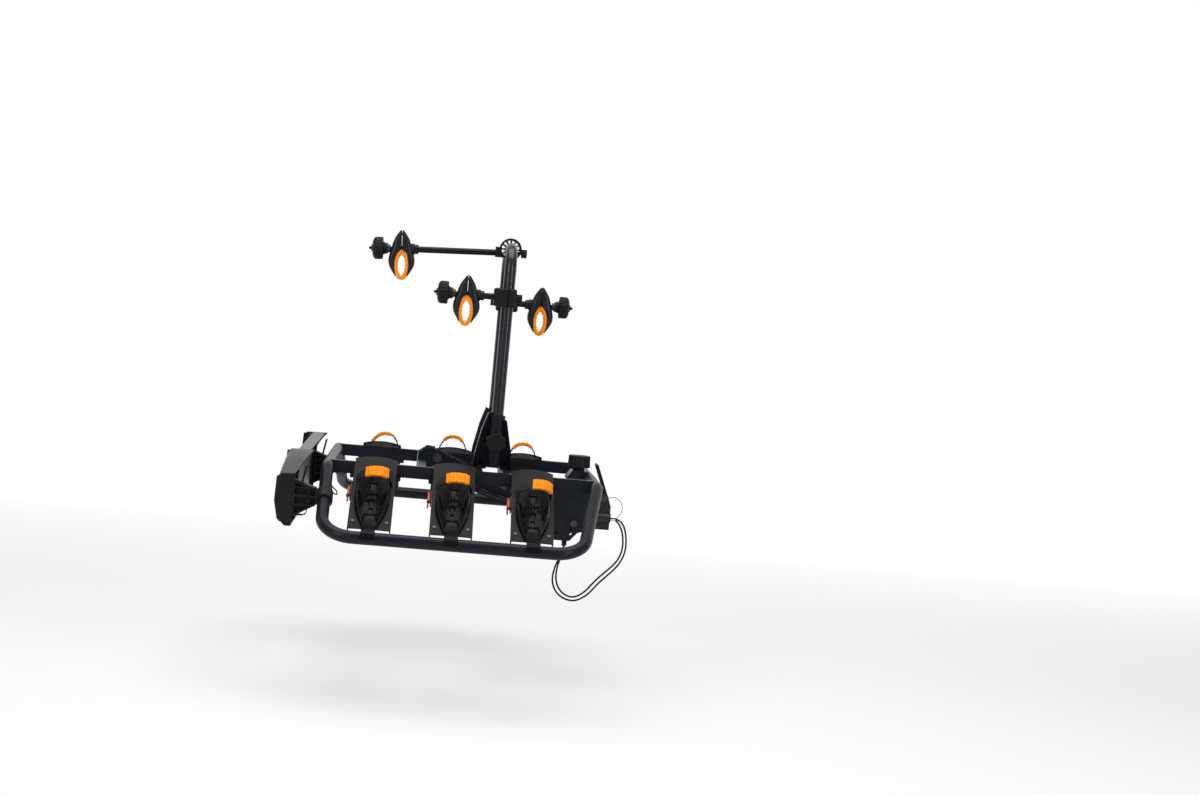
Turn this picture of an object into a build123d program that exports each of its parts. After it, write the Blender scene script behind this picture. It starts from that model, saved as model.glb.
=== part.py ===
from build123d import *
from math import atan2, cos, degrees, pi, radians, sin, sqrt, tan
import os

# A platform rack for three bicycles that clamps on a 50 mm tow ball.
# Millimetres. Origin at the centre of the tow ball, +X towards the car, +Z up.

# The tow ball and where the platform stands from it
ball_dia = 50.0
seat_gap = 0.1
band_half = 4.3
mouth_relief = 1.4
jaw_relief = 0.5
ball_to_mid_tray = 380.0
ball_to_deck = 127.0

# Running fits and cuts
pin_gap = 0.05
slide_gap = 0.3
side_gap = 0.3
weld_gap = 0.2
overrun = 5.0

# Round-tube loop: two side hoops joined by two cross tubes
loop_tube = 30.0
loop_wall = 2.0
loop_rear = 306.0
loop_front = 348.0
loop_straight = 285.0
hoop_overhang = 69.0
hoop_drop = 133.0
hoop_rear_inset = 10.0
hoop_front_inset = 42.0
hoop_bend = 75.0
cross_bend = 60.0

# Box rails and the members between them
rail_spacing = 498.0
rail_height = 30.0
rail_width = 20.0
rail_wall = 2.0
pivot_member_x = -82.0
pivot_member_width = 24.0
foot_member_rear = 60.0
foot_member_front = 130.0
foot_member_width = 20.0
foot_member_height = 25.0
foot_member_drop = 2.0
slot_plate_rear = 155.0
slot_plate_front = 229.0
slot_plate_wall = 3.0
slot_plate_height = 26.0
slot_plate_slot = 58.0
slot_plate_slot_width = 8.0

# Tilt pivot, its two cheeks on the platform and the beam below
pivot_x = -43.0
pivot_rise = 7.0
pivot_dia = 14.0
pivot_head_dia = 24.0
pivot_head = 9.0
pivot_washer = 2.5
tilt_plate = 6.0
tilt_rear = 37.0
tilt_front = 17.0
tilt_crown = 26.0
tilt_shoulder = 28.0
beam_width = 40.0
beam_height = 34.0
beam_wall = 3.0
beam_start = 12.0
beam_start_drop = 55.0
beam_fall = 15.9
cheek_wall = 4.0
cheek_radius = 20.0
cheek_shoulder = 78.0
cheek_end = 88.0
cheek_shoulder_drop = 13.0
cheek_end_drop = 43.0
conduit_dia = 11.0
conduit_rear = 93.0
conduit_front = 218.0
conduit_lift = 11.0
conduit_clip = 8.0
conduit_clip_wall = 2.0
conduit_gap = 0.5
conduit_clip_inset = 22.0

# Coupling bracket: side plates, rear web and floor
bracket_wall = 4.0
bracket_half = 45.0
bracket_rear = 118.0
bracket_front = 12.0
bracket_bottom = 50.0
bracket_top = 86.0
bracket_toe = 69.0
bracket_knee = 50.0
bracket_knee_drop = 28.0
bracket_throat = 34.0
bracket_shoulder = 30.0
emboss_x = -62.0
emboss_drop = 3.0
emboss_dia = 40.0
emboss_rise = 3.0
emboss_taper = 20.0
bracket_bolt_dia = 12.0
bracket_bolt_head = 8.0
bracket_bolt_head_dia = 19.0
bracket_hole_dia = 7.0
bracket_hole_rear = 104.0
bracket_hole_front = 68.0
bracket_hole_drop = 31.0
bracket_slot_length = 18.0

# Cast coupling housing
housing_half = 34.0
housing_rear = 98.0
housing_top = 94.0
housing_bottom = 15.0
housing_nose = 31.0
nose_top = 44.0
housing_shoulder = 20.0
housing_round = 5.0
jaw_slot_half = 23.7
jaw_slot_rear = 17.0
jaw_slot_floor = 38.0
split_x = 2.0
ear_radius = 11.5
cavity_radius = 24.0
cavity_height = 16.0
top_plate = 8.0
slot_length = 46.0
slot_width = 24.0
lock_boss_dia = 24.0
lock_y = -36.0
lock_z = 16.0
lock_boss_reach = 32.0
lock_boss_length = 34.0

# Jaw and hand lever with their pins
jaw_pin_x = -6.0
jaw_pin_z = 50.0
jaw_pin_dia = 10.0
jaw_boss_radius = 9.0
jaw_top = 2.8
jaw_ledge = 16.0
jaw_brow_drop = 1.5
jaw_nose_gap = 1.0
lever_pin_x = 12.0
lever_pin_z = 66.0
lever_pin_dia = 8.0
lever_hub_radius = 6.8
lever_lobe_radius = 3.6
lever_lobe_offset = 8.0
lever_thickness = 7.0
lever_foot_x = 23.0
lever_foot_rise = 2.0
lever_bow_x = 9.5
lever_bow_rise = 37.0
lever_tip_x = -8.5
lever_tip_rise = 82.0
lever_rib = 4.0
pin_head = 3.0
pin_head_dia = 16.0

# Key barrel and lanyard
barrel_dia = 14.0
barrel_bore_depth = 12.0
barrel_proud = 13.0
barrel_cap_dia = 15.0
barrel_cap = 3.0
key_slot_width = 2.4
key_slot_depth = 4.0
lanyard_dia = 1.6
lanyard_eye = 4.0

# Front lock plate, its knob and T-headed spindle
lock_x = -58.0
lock_plate_half = 35.0
lock_plate_wall = 4.0
lock_plate_rise = 2.0
lock_plate_rear_top = 19.0
lock_plate_rear_low = 33.0
lock_plate_drop = 20.0
lock_bush_dia = 30.0
lock_knob_dia = 58.0
lock_knob_height = 30.0
lock_knob_lift = 9.0
lock_knob_taper = 2.0
lock_knob_lobes = 12
lock_knob_lobe_dia = 8.0
spindle_dia = 12.0
tee_length = 42.0
tee_width = 14.0
tee_height = 10.0
tee_drop = 2.0

# Inverted U mast and its two folded brackets
mast_x = 97.0
mast_spacing = 240.0
mast_dia = 30.0
mast_wall = 2.0
mast_height = 552.0
mast_bend = 60.0
mast_foot = 8.0
sleeve_dia = 37.0
sleeve_height = 133.0
collar_dia = 41.0
collar_height = 12.0
gusset_wall = 3.0
gusset_depth = 34.0
gusset_foot_rear = 53.0
gusset_low_rear = 50.0
gusset_knee_rear = 37.0
gusset_top_rear = 23.0
gusset_foot_front = 48.0
gusset_low_front = 41.0
gusset_top_front = 25.0
gusset_low = 30.0
gusset_low_front_height = 45.0
gusset_knee = 95.0
gusset_rear_height = 139.0
gusset_front_height = 121.0
arch_width = 36.0
arch_height = 16.0
foot_bolt_head_dia = 14.0
foot_bolt_head = 5.0
mast_knob_height = 68.0
mast_knob_dia = 50.0
mast_knob_depth = 24.0
mast_screw_dia = 10.0
mast_boss_dia = 22.0
mast_boss = 5.0

# Arms with their clamps
arm_dia = 16.0
arm_thread_dia = 10.0
arm_thread_length = 70.0
arm_collar_dia = 24.0
arm_collar = 9.0
arm_seat = 14.0
clamp_height = 46.0
clamp_half_width = 25.0
clamp_reach = 36.0
clamp_back = 21.0
clamp_round = 6.0
clamp_slit = 3.0
clamp_knob_dia = 22.0
clamp_knob_depth = 14.0
clamp_screw_dia = 8.0
near_arm_drop = 124.0
far_arm_drop = 136.0
near_arm_reach = 102.0
far_arm_reach = 97.0
top_arm_reach = 276.0
top_arm_drop = 9.0
top_arm_droop = 3.1
ring_outer = 28.0
ring_inner = 23.0
ring_half_width = 20.0
ring_teeth = 12
ring_tooth_width = 3.4
ring_block = 20.0
ring_block_height = 26.0
ring_screw_drop = 8.0

# Frame claws, from the arm's axis
claw_pin_rise = 38.0
claw_reach = 80.0
claw_half = 33.0
claw_half_thickness = 23.0
claw_toe = 3.0
claw_split = 0.4
knuckle_radius = 7.5
knuckle_half = 11.0
knuckle_gap = 0.4
claw_pin_dia = 6.0
recess_top = 17.0
recess_shoulder = 24.0
recess_half = 18.0
recess_toe = 2.0
recess_reach = 73.0
liner_gap = 0.1
mouth_top = 21.0
mouth_half = 7.5
mouth_reach = 66.0
liner_teeth = 6
liner_notch_radius = 2.0
slot_half = 5.4
slot_rise = 5.6
slot_inner_drop = 8.6
slot_outer_drop = 20.4
washer_dia = 36.0
washer_thickness = 3.0
claw_knob_dia = 57.0
claw_knob_disc = 23.0
claw_knob_cone = 18.0
claw_knob_neck_dia = 25.0
claw_knob_shoulder_dia = 50.0
claw_knob_tip_dia = 18.0
claw_knob_tip = 6.0
claw_knob_lobes = 8
claw_knob_lobe_dia = 13.0
claw_knob_bore = 38.0

# Wheel trays, curved down and outwards from the rails
tray_pitch = 190.0
tray_count = 3
tray_width = 101.0
tray_top_y = 249.0
tray_top_rise = 8.0
tray_low_y = 481.0
tray_low_drop = 135.0
tray_belly = 12.0
tray_wall = 3.0
tray_skirt = 14.0
tray_arch_top = 8.0
tray_arch_low = 1.0
tray_hole_dia = 8.0
tray_hole_inset = 22.0

# Wheel cradles, measured along the tray's chord from its top edge
cradle_start = 76.0
cradle_shoulder = 112.0
cradle_end = 268.0
cradle_half = 38.4
cradle_tail_half = 17.0
cradle_height = 24.0
groove_half = 26.0
groove_floor = 5.0
rib_wall = 4.0
cradle_rib_count = 3
cradle_hole = 16.0
cradle_hole_at = 168.0
tail_slot_length = 34.0
tail_slot_width = 5.0
tail_slot_at = 232.0
tail_slot_offset = 9.0
saddle_wall = 5.0
saddle_width = 32.0
saddle_gap = 0.3

# Straps over the wheels, their pads and buckles
strap_at = 108.0
strap_width = 26.0
strap_wall = 4.0
strap_half = 41.0
strap_leg = 41.0
strap_root = 14.0
strap_gap = 0.3
near_strap_lean = 60.0
slipped_pad_turn = 16.0
pad_wall = 3.0
pad_half_width = 16.0
pad_sweep = 78.0
buckle_at = 140.0
buckle_length = 40.0
buckle_height = 20.0
buckle_wall = 3.0
buckle_drop = 3.0
lever_pin = 3.0
lever_knuckle = 3.2
lever_length = 30.0
lever_height = 22.0
lever_wall = 4.0

# Clamp bars under the rails
clamp_bar_length = 122.0
clamp_bar_width = 34.0
clamp_bar_height = 8.0
clamp_bar_shift = 7.0
clamp_bolt_dia = 8.0
clamp_bolt_spacing = 60.0
clamp_bolt_drop = 1.0
clamp_bolt_head_dia = 13.0
clamp_bolt_head = 5.0

# Lamp board across the rear
lamp_half = 425.0
lamp_wall = 3.0
lamp_top_x = 391.0
lamp_top_rise = 23.0
lamp_lip_x = 375.0
lamp_lip_rise = 33.0
lamp_upper_x = 407.0
lamp_upper_drop = 32.0
lamp_belly_x = 410.0
lamp_belly_drop = 91.0
lamp_low_x = 400.0
lamp_low_drop = 138.0
lamp_heel_x = 388.0
lamp_heel_drop = 150.0
lamp_toe_x = 374.0
lamp_face_drop = 28.0
lamp_rib_count = 4
lamp_rib_wall = 2.5
lens_length = 175.0
lens_depth = 6.0
lens_rim = 12.0
notch_length = 30.0
notch_depth = 24.0
lamp_bracket_y = 408.0
lamp_bracket_width = 34.0
lamp_bracket_wall = 4.0
lamp_bracket_top = 10.0
lamp_bracket_low = 128.0
lamp_bracket_ribs = 3
lamp_clip_wall = 5.0
lamp_clip_gap = 0.3

# Lighting cables, parked plug and its holder
cable_dia = 4.6
cable_pitch = 9.0
gland_length = 12.0
gland_depth = 14.0
gland_width = 24.0
gland_x = -80.0
gland_y = -24.0
plug_dia = 36.0
plug_length = 44.0
plug_rear_dia = 25.0
plug_rear = 18.0
plug_y = 72.0
plug_z = 6.0
plug_rear_x = 8.0
plug_ribs = 8
plug_rib_wall = 3.0
holder_wall = 3.0
holder_depth = 26.0
holder_flange = 56.0
holder_flange_wall = 4.0

# Places worked out from the sizes above
mid_x = -ball_to_mid_tray
seat_radius = ball_dia / 2 + seat_gap
rail_y = rail_spacing / 2
cross_z = ball_to_deck - rail_height / 2
loop_rear_x = mid_x - loop_rear
loop_front_x = mid_x + loop_front
hoop_z = cross_z - hoop_drop
hoop_reach = tray_low_y + hoop_overhang
pivot_point_x = mid_x + pivot_x
pivot_point_z = ball_to_deck + pivot_rise
mast_center_x = mid_x + mast_x
mast_y = mast_spacing / 2
mast_top_z = ball_to_deck + mast_height
near_arm_height = mast_height - near_arm_drop
far_arm_height = mast_height - far_arm_drop
sleeve_bore = mast_dia + 2 * slide_gap
lock_plate_top = ball_to_deck + lock_plate_rise
tray_xs = [mid_x + (i - (tray_count - 1) / 2) * tray_pitch for i in range(tray_count)]
tray_drop = tray_top_rise + tray_low_drop
tray_run = tray_low_y - tray_top_y
tray_length = sqrt(tray_run**2 + tray_drop**2)
tray_slope = degrees(atan2(tray_drop, tray_run))

os.makedirs("parts", exist_ok=True)


def save(piece, name):
    """Label a finished piece and write its STEP file."""
    piece.part.label = name
    export_step(piece.part, f"parts/{name}.step")


def side_plane(y=0.0):
    """A sketch plane seen from the near side: x runs along X, y along Z, at a given Y."""
    return Plane(origin=(0, y, 0), x_dir=(1, 0, 0), z_dir=(0, -1, 0))


def end_plane(x=0.0):
    """A sketch plane across the rack: x runs along Y, y along Z, at a given X."""
    return Plane(origin=(x, 0, 0), x_dir=(0, 1, 0), z_dir=(1, 0, 0))


# Round-tube loop
half = [
    (loop_rear_x, 0, cross_z),
    (loop_rear_x, -loop_straight, cross_z),
    (loop_rear_x + hoop_rear_inset, -hoop_reach, hoop_z),
    (loop_front_x - hoop_front_inset, -hoop_reach, hoop_z),
    (loop_front_x, -loop_straight, cross_z),
    (loop_front_x, 0, cross_z),
]
with BuildPart() as platform_loop:
    with BuildLine() as loop_path:
        FilletPolyline(*half, radius=[cross_bend, hoop_bend, hoop_bend, cross_bend])
    with BuildSketch(Plane(origin=loop_path.line @ 0, z_dir=loop_path.line % 0)):
        Circle(loop_tube / 2)
        Circle(loop_tube / 2 - loop_wall, mode=Mode.SUBTRACT)
    sweep()
    mirror(about=Plane.XZ)
save(platform_loop, "platform_loop")


# Rails, cross members, tilt cheeks and front lock plate, welded as one
def box_section(width, height):
    """A hollow rectangular tube section."""
    with BuildSketch() as section:
        Rectangle(width, height)
        Rectangle(width - 2 * rail_wall, height - 2 * rail_wall, mode=Mode.SUBTRACT)
    return section.sketch


member_length = rail_spacing - rail_width
foot_member_z = ball_to_deck - foot_member_drop - foot_member_height / 2
lock_plate_rear = lock_x - lock_plate_rear_top
with BuildPart() as platform_rails:
    with BuildSketch(Plane.YZ.offset(loop_rear_x)):
        with Locations((-rail_y, cross_z), (rail_y, cross_z)):
            add(box_section(rail_width, rail_height))
    extrude(amount=loop_rear + loop_front)
    with BuildSketch(Plane.XZ.offset(-member_length / 2)):
        for x in (foot_member_rear, foot_member_front):
            with Locations((mid_x + x, foot_member_z)):
                add(box_section(foot_member_width, foot_member_height))
        with Locations((mid_x + pivot_member_x, cross_z)):
            add(box_section(pivot_member_width, rail_height))
    extrude(amount=member_length)
    # Tilt cheeks stand on the pivot member
    for side in (1, -1):
        cheek_y = beam_width / 2 + cheek_wall + side_gap + tilt_plate / 2
        with BuildSketch(side_plane(side * cheek_y)):
            with BuildLine():
                Polyline(
                    (pivot_point_x - tilt_rear - pivot_head_dia / 2, ball_to_deck - rail_height),
                    (pivot_point_x - tilt_rear - pivot_head_dia / 2, ball_to_deck + tilt_front),
                    (pivot_point_x - tilt_shoulder, pivot_point_z + tilt_crown),
                    (pivot_point_x - pivot_dia / 2, pivot_point_z + tilt_crown - overrun / 2),
                    (pivot_point_x, pivot_point_z),
                    (pivot_point_x - tilt_front, ball_to_deck - rail_height),
                    close=True,
                )
            make_face()
            with Locations((pivot_point_x, pivot_point_z)):
                Circle(tilt_front)
        extrude(amount=tilt_plate / 2, both=True)
    with Locations(Plane.XZ * Pos(pivot_point_x, pivot_point_z)):
        Cylinder(pivot_dia / 2 + pin_gap, member_length, mode=Mode.SUBTRACT)
    # Slotted plates on the inner faces of the rails
    for side in (1, -1):
        with BuildSketch(side_plane(side * (rail_y - rail_width / 2))):
            with Locations((mid_x + (slot_plate_rear + slot_plate_front) / 2, cross_z)):
                Rectangle(slot_plate_front - slot_plate_rear, slot_plate_height)
                SlotOverall(slot_plate_slot, slot_plate_slot_width, mode=Mode.SUBTRACT)
        extrude(amount=side * slot_plate_wall)
    # Front plate: a folded cover with sloping rear edge and the spindle's bush
    with BuildSketch(side_plane()):
        with BuildLine():
            Polyline(
                (lock_x - lock_plate_rear_low, lock_plate_top - lock_plate_drop),
                (lock_plate_rear, lock_plate_top),
                (loop_front_x, lock_plate_top),
                (loop_front_x, lock_plate_top - lock_plate_drop),
                close=True,
            )
        make_face()
    extrude(amount=lock_plate_half, both=True)
    with BuildSketch(side_plane()):
        with BuildLine():
            Polyline(
                (lock_x - lock_plate_rear_low + lock_plate_wall, lock_plate_top - lock_plate_drop),
                (lock_plate_rear + lock_plate_wall / 2, lock_plate_top - lock_plate_wall),
                (loop_front_x, lock_plate_top - lock_plate_wall),
                (loop_front_x, lock_plate_top - lock_plate_drop),
                close=True,
            )
        make_face()
    extrude(amount=lock_plate_half - lock_plate_wall, both=True, mode=Mode.SUBTRACT)
    with BuildSketch(Plane.XY.offset(housing_top + slide_gap)):
        with Locations((lock_x, 0)):
            Circle(lock_bush_dia / 2)
    extrude(amount=lock_plate_top - lock_plate_wall - housing_top - slide_gap)
    with Locations((lock_x, 0, ball_to_deck)):
        Cylinder(spindle_dia / 2 + slide_gap, lock_plate_top, mode=Mode.SUBTRACT)
    # Ends coped to the loop's cross tubes
    for x in (loop_rear_x, loop_front_x):
        with Locations(Plane.XZ * Pos(x, cross_z)):
            Cylinder(loop_tube / 2 + weld_gap, rail_spacing + 2 * rail_width, mode=Mode.SUBTRACT)
    with BuildSketch(Plane.XY.offset(ball_to_deck - rail_height - overrun)):
        with Locations((loop_rear_x, 0), (loop_front_x, 0)):
            Rectangle(weld_gap, rail_spacing + 2 * rail_width)
    extrude(amount=rail_height + 2 * overrun, mode=Mode.SUBTRACT)
save(platform_rails, "platform_rails")


# Lock knob with its T-headed spindle
with BuildPart() as lock_knob:
    with BuildSketch(Plane.XY.offset(lock_plate_top + lock_knob_lift)):
        with Locations((lock_x, 0)):
            Circle(lock_knob_dia / 2)
            with PolarLocations(lock_knob_dia / 2 + lock_knob_lobe_dia / 4, lock_knob_lobes):
                Circle(lock_knob_lobe_dia / 2, mode=Mode.SUBTRACT)
    extrude(amount=lock_knob_height, taper=lock_knob_taper)
    fillet(lock_knob.faces().sort_by(Axis.Z)[-1].edges(), lock_knob_lobe_dia / 4)
    with BuildSketch(Plane.XY.offset(lock_plate_top + slide_gap)):
        with Locations((lock_x, 0)):
            Circle(lock_bush_dia / 2)
    extrude(amount=lock_knob_lift)
    with BuildSketch(Plane.XY.offset(housing_top - top_plate - tee_drop)):
        with Locations((lock_x, 0)):
            Circle(spindle_dia / 2)
    extrude(until=Until.NEXT)
    with BuildSketch(Plane.XY.offset(housing_top - top_plate - tee_drop)):
        with Locations((lock_x, 0)):
            SlotOverall(tee_length, tee_width, rotation=90)
    extrude(amount=-tee_height)
save(lock_knob, "lock_knob")

# Cast coupling housing: rear half of the ball socket, lock cavity and two cheeks
with BuildPart() as coupling_body:
    with BuildSketch(side_plane()):
        with BuildLine():
            Polyline(
                (-housing_rear, -housing_bottom),
                (-housing_rear, housing_top),
                (-housing_shoulder, housing_top),
                (lever_pin_x, lever_pin_z),
                (lever_pin_x + ear_radius, lever_pin_z),
                (housing_nose, nose_top),
                (housing_nose, -housing_bottom),
                close=True,
            )
        make_face()
        with Locations((lever_pin_x, lever_pin_z)):
            Circle(ear_radius)
    extrude(amount=housing_half, both=True)
    upright = coupling_body.edges().filter_by(Axis.Z).sort_by(Axis.X)
    fillet(upright[:2], housing_round)
    # Bosses that carry the bracket plates
    with BuildSketch(side_plane()):
        with Locations((emboss_x, -emboss_drop)):
            Circle(bracket_bolt_head_dia)
    extrude(amount=bracket_half - bracket_wall, both=True)
    # The slot between the cheeks for the jaw and lever
    with BuildSketch(side_plane()):
        with BuildLine():
            Polyline(
                (split_x, -housing_bottom - overrun),
                (split_x, jaw_slot_floor),
                (-jaw_slot_rear, jaw_slot_floor),
                (-jaw_slot_rear, housing_top + overrun),
                (housing_nose + overrun, housing_top + overrun),
                (housing_nose + overrun, -housing_bottom - overrun),
                close=True,
            )
        make_face()
    extrude(amount=jaw_slot_half, both=True, mode=Mode.SUBTRACT)
    # Ball socket: a seat at the ball's middle, and below it a wider mouth
    Sphere(seat_radius, mode=Mode.SUBTRACT)
    with BuildSketch(Plane.XY.offset(band_half)):
        Circle(seat_radius)
    extrude(amount=-2 * band_half, mode=Mode.SUBTRACT)
    with BuildSketch(Plane.XY.offset(-band_half)):
        Circle(seat_radius + mouth_relief)
    extrude(amount=-housing_bottom, mode=Mode.SUBTRACT)
    # Cavity and slot for the spindle's T head
    with BuildSketch(Plane.XY.offset(housing_top - top_plate)):
        with Locations((lock_x, 0)):
            Circle(cavity_radius)
    extrude(amount=-cavity_height, mode=Mode.SUBTRACT)
    with BuildSketch(Plane.XY.offset(housing_top + overrun)):
        with Locations((lock_x, 0)):
            RectangleRounded(slot_width, slot_length, slot_width / 4)
    extrude(amount=-top_plate - 2 * overrun, mode=Mode.SUBTRACT)
    # Lock boss on the near cheek
    with BuildSketch(end_plane(lock_boss_reach)):
        with Locations((lock_y, lock_z)):
            Circle(lock_boss_dia / 2)
    extrude(amount=-lock_boss_length)
    with BuildSketch(end_plane(lock_boss_reach)):
        with Locations((lock_y, lock_z)):
            Circle(barrel_dia / 2 + slide_gap)
    extrude(amount=-barrel_bore_depth, mode=Mode.SUBTRACT)
    # Pin and bolt bores
    with Locations(Plane.XZ * Pos(jaw_pin_x, jaw_pin_z)):
        Cylinder(jaw_pin_dia / 2 + pin_gap, 4 * housing_half, mode=Mode.SUBTRACT)
    with Locations(Plane.XZ * Pos(lever_pin_x, lever_pin_z)):
        Cylinder(lever_pin_dia / 2 + pin_gap, 4 * housing_half, mode=Mode.SUBTRACT)
    with Locations(Plane.XZ * Pos(emboss_x, -emboss_drop)):
        Cylinder(bracket_bolt_dia / 2 + pin_gap, 4 * bracket_half, mode=Mode.SUBTRACT)
save(coupling_body, "coupling_body")

# Ball jaw: the front of the socket with its lip, hung from the jaw pin
with BuildPart() as ball_jaw:
    with BuildSketch(side_plane()):
        with BuildLine():
            Polyline(
                (jaw_pin_x, jaw_slot_floor + jaw_boss_radius / 2),
                (jaw_pin_x, jaw_pin_z + jaw_top),
                (jaw_ledge, jaw_pin_z + jaw_top),
                (housing_nose - jaw_nose_gap, nose_top - jaw_brow_drop),
                (housing_nose - jaw_nose_gap, -housing_bottom),
                (split_x + side_gap, -housing_bottom),
                (split_x + side_gap, jaw_slot_floor + jaw_boss_radius / 2),
                close=True,
            )
        make_face()
        with Locations((jaw_pin_x, jaw_pin_z)):
            Circle(jaw_boss_radius)
    extrude(amount=jaw_slot_half - side_gap, both=True)
    # The jaw's half of the socket is a little wider, so the ball seats in the housing
    Sphere(seat_radius + jaw_relief, mode=Mode.SUBTRACT)
    with BuildSketch(Plane.XY.offset(-band_half)):
        Circle(seat_radius + jaw_relief)
    extrude(amount=2 * band_half, mode=Mode.SUBTRACT)
    with Locations(Plane.XZ * Pos(jaw_pin_x, jaw_pin_z)):
        Cylinder(jaw_pin_dia / 2 + pin_gap, 4 * jaw_slot_half, mode=Mode.SUBTRACT)
save(ball_jaw, "ball_jaw")

# Hand lever: a bowed grip on a hub whose lobe presses on the jaw
lever_foot = (lever_foot_x, lever_pin_z + lever_foot_rise)
lever_bow = (lever_bow_x, lever_pin_z + lever_bow_rise)
lever_tip = (lever_tip_x, lever_pin_z + lever_tip_rise)
with BuildPart() as clamp_lever:
    with BuildSketch(side_plane()):
        with BuildLine():
            front = ThreePointArc(lever_foot, lever_bow, lever_tip)
            rear = ThreePointArc(
                (lever_foot[0] - lever_thickness, lever_foot[1]),
                (lever_bow[0] - lever_thickness, lever_bow[1] - lever_thickness / 4),
                (lever_tip[0] - lever_thickness, lever_tip[1] - lever_thickness / 4),
            )
            Line(front @ 0, rear @ 0)
            TangentArc(front @ 1, rear @ 1, tangent=front % 1)
        make_face()
        with Locations((lever_pin_x, lever_pin_z)):
            Circle(lever_hub_radius)
        with BuildLine():
            Polyline(
                (lever_pin_x - lever_lobe_radius, lever_pin_z),
                (lever_pin_x - lever_lobe_radius, lever_pin_z - lever_lobe_offset),
                (lever_pin_x + lever_lobe_radius, lever_pin_z - lever_lobe_offset),
                (lever_pin_x + lever_lobe_radius, lever_pin_z),
                close=True,
            )
        make_face()
        with Locations((lever_pin_x, lever_pin_z - lever_lobe_offset)):
            Circle(lever_lobe_radius)
    extrude(amount=jaw_slot_half - side_gap, both=True)
    # Hollow back between two side ribs
    with BuildSketch(side_plane()):
        with BuildLine():
            hollow_front = ThreePointArc(
                (lever_foot[0] - lever_rib, lever_foot[1] + lever_thickness),
                (lever_bow[0] - lever_rib, lever_bow[1]),
                (lever_tip[0] - lever_rib, lever_tip[1] - lever_thickness),
            )
            Polyline(
                hollow_front @ 0,
                (lever_foot[0] - 2 * lever_thickness, lever_foot[1] + lever_thickness),
                (lever_tip[0] - 2 * lever_thickness, lever_tip[1] - lever_thickness),
                hollow_front @ 1,
            )
        make_face()
    extrude(amount=jaw_slot_half - side_gap - lever_rib, both=True, mode=Mode.SUBTRACT)
    with Locations(Plane.XZ * Pos(lever_pin_x, lever_pin_z)):
        Cylinder(lever_pin_dia / 2 + pin_gap, 4 * jaw_slot_half, mode=Mode.SUBTRACT)
save(clamp_lever, "clamp_lever")

# Key barrel, turning in the boss on the near cheek
with BuildPart() as lock_barrel:
    with BuildSketch(end_plane(lock_boss_reach - barrel_bore_depth + slide_gap)):
        with Locations((lock_y, lock_z)):
            Circle(barrel_dia / 2)
    extrude(amount=barrel_bore_depth - slide_gap + barrel_proud)
    with BuildSketch(end_plane(lock_boss_reach + slide_gap)):
        with Locations((lock_y, lock_z)):
            Circle(barrel_cap_dia / 2)
    extrude(amount=barrel_cap)
    with BuildSketch(end_plane(lock_boss_reach + barrel_proud)):
        with Locations((lock_y, lock_z)):
            Rectangle(key_slot_width, barrel_dia / 2)
    extrude(amount=-key_slot_depth, mode=Mode.SUBTRACT)
save(lock_barrel, "lock_barrel")

# Beam from the coupling bracket up to the tilt pivot
fall = radians(beam_fall)
beam_end_x = -bracket_rear - weld_gap
beam_start_x = pivot_point_x + beam_start
beam_start_z = pivot_point_z - beam_start_drop
beam_end_z = beam_start_z - (beam_end_x - beam_start_x) * tan(fall)
beam_rise = beam_height / cos(fall)
cheek_out = beam_width / 2 + cheek_wall
with BuildPart() as hitch_beam:
    with BuildSketch(side_plane()):
        with BuildLine():
            Polyline(
                (beam_start_x, beam_start_z),
                (beam_start_x, beam_start_z + beam_rise),
                (beam_end_x, beam_end_z + beam_rise),
                (beam_end_x, beam_end_z),
                close=True,
            )
        make_face()
    extrude(amount=beam_width / 2, both=True)
    shell_faces = hitch_beam.faces().filter_by(Axis.X)
    offset(amount=-beam_wall, openings=shell_faces)
    # Two cheeks rise from its sides to the pivot
    for side in (1, -1):
        with BuildSketch(side_plane(side * (beam_width / 2 + cheek_wall / 2))):
            with BuildLine():
                Polyline(
                    (beam_start_x, beam_start_z),
                    (pivot_point_x - cheek_radius / 4, pivot_point_z),
                    (pivot_point_x, pivot_point_z + cheek_radius),
                    (pivot_point_x + cheek_shoulder, pivot_point_z - cheek_shoulder_drop),
                    (pivot_point_x + cheek_end, pivot_point_z - cheek_end_drop),
                    (pivot_point_x + cheek_end, beam_start_z - (cheek_end - beam_start) * tan(fall)),
                    close=True,
                )
            make_face()
            with Locations((pivot_point_x, pivot_point_z)):
                Circle(cheek_radius)
        extrude(amount=cheek_wall / 2, both=True)
    with Locations(Plane.XZ * Pos(pivot_point_x, pivot_point_z)):
        Cylinder(pivot_dia / 2 + pin_gap, 4 * cheek_out, mode=Mode.SUBTRACT)
    # Cable conduit along the lower edge of the near side, on two clips
    conduit_y = -beam_width / 2 - conduit_dia / 2 - conduit_gap
    downhill = Vector(cos(fall), 0, -sin(fall))
    conduit_start = Vector(beam_start_x, conduit_y, beam_start_z + conduit_lift)
    conduit_start += downhill * (conduit_rear - beam_start)
    with BuildSketch(Plane(origin=conduit_start, z_dir=downhill)):
        Circle(conduit_dia / 2)
    extrude(amount=conduit_front - conduit_rear)
    for along in (conduit_clip_inset, conduit_front - conduit_rear - conduit_clip_inset):
        with BuildSketch(Plane(origin=conduit_start + downhill * along, x_dir=(0, 1, 0), z_dir=downhill)):
            Rectangle(conduit_dia + conduit_clip_wall, conduit_dia + 2 * conduit_clip_wall)
        extrude(amount=conduit_clip / 2, both=True)
save(hitch_beam, "hitch_beam")

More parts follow.
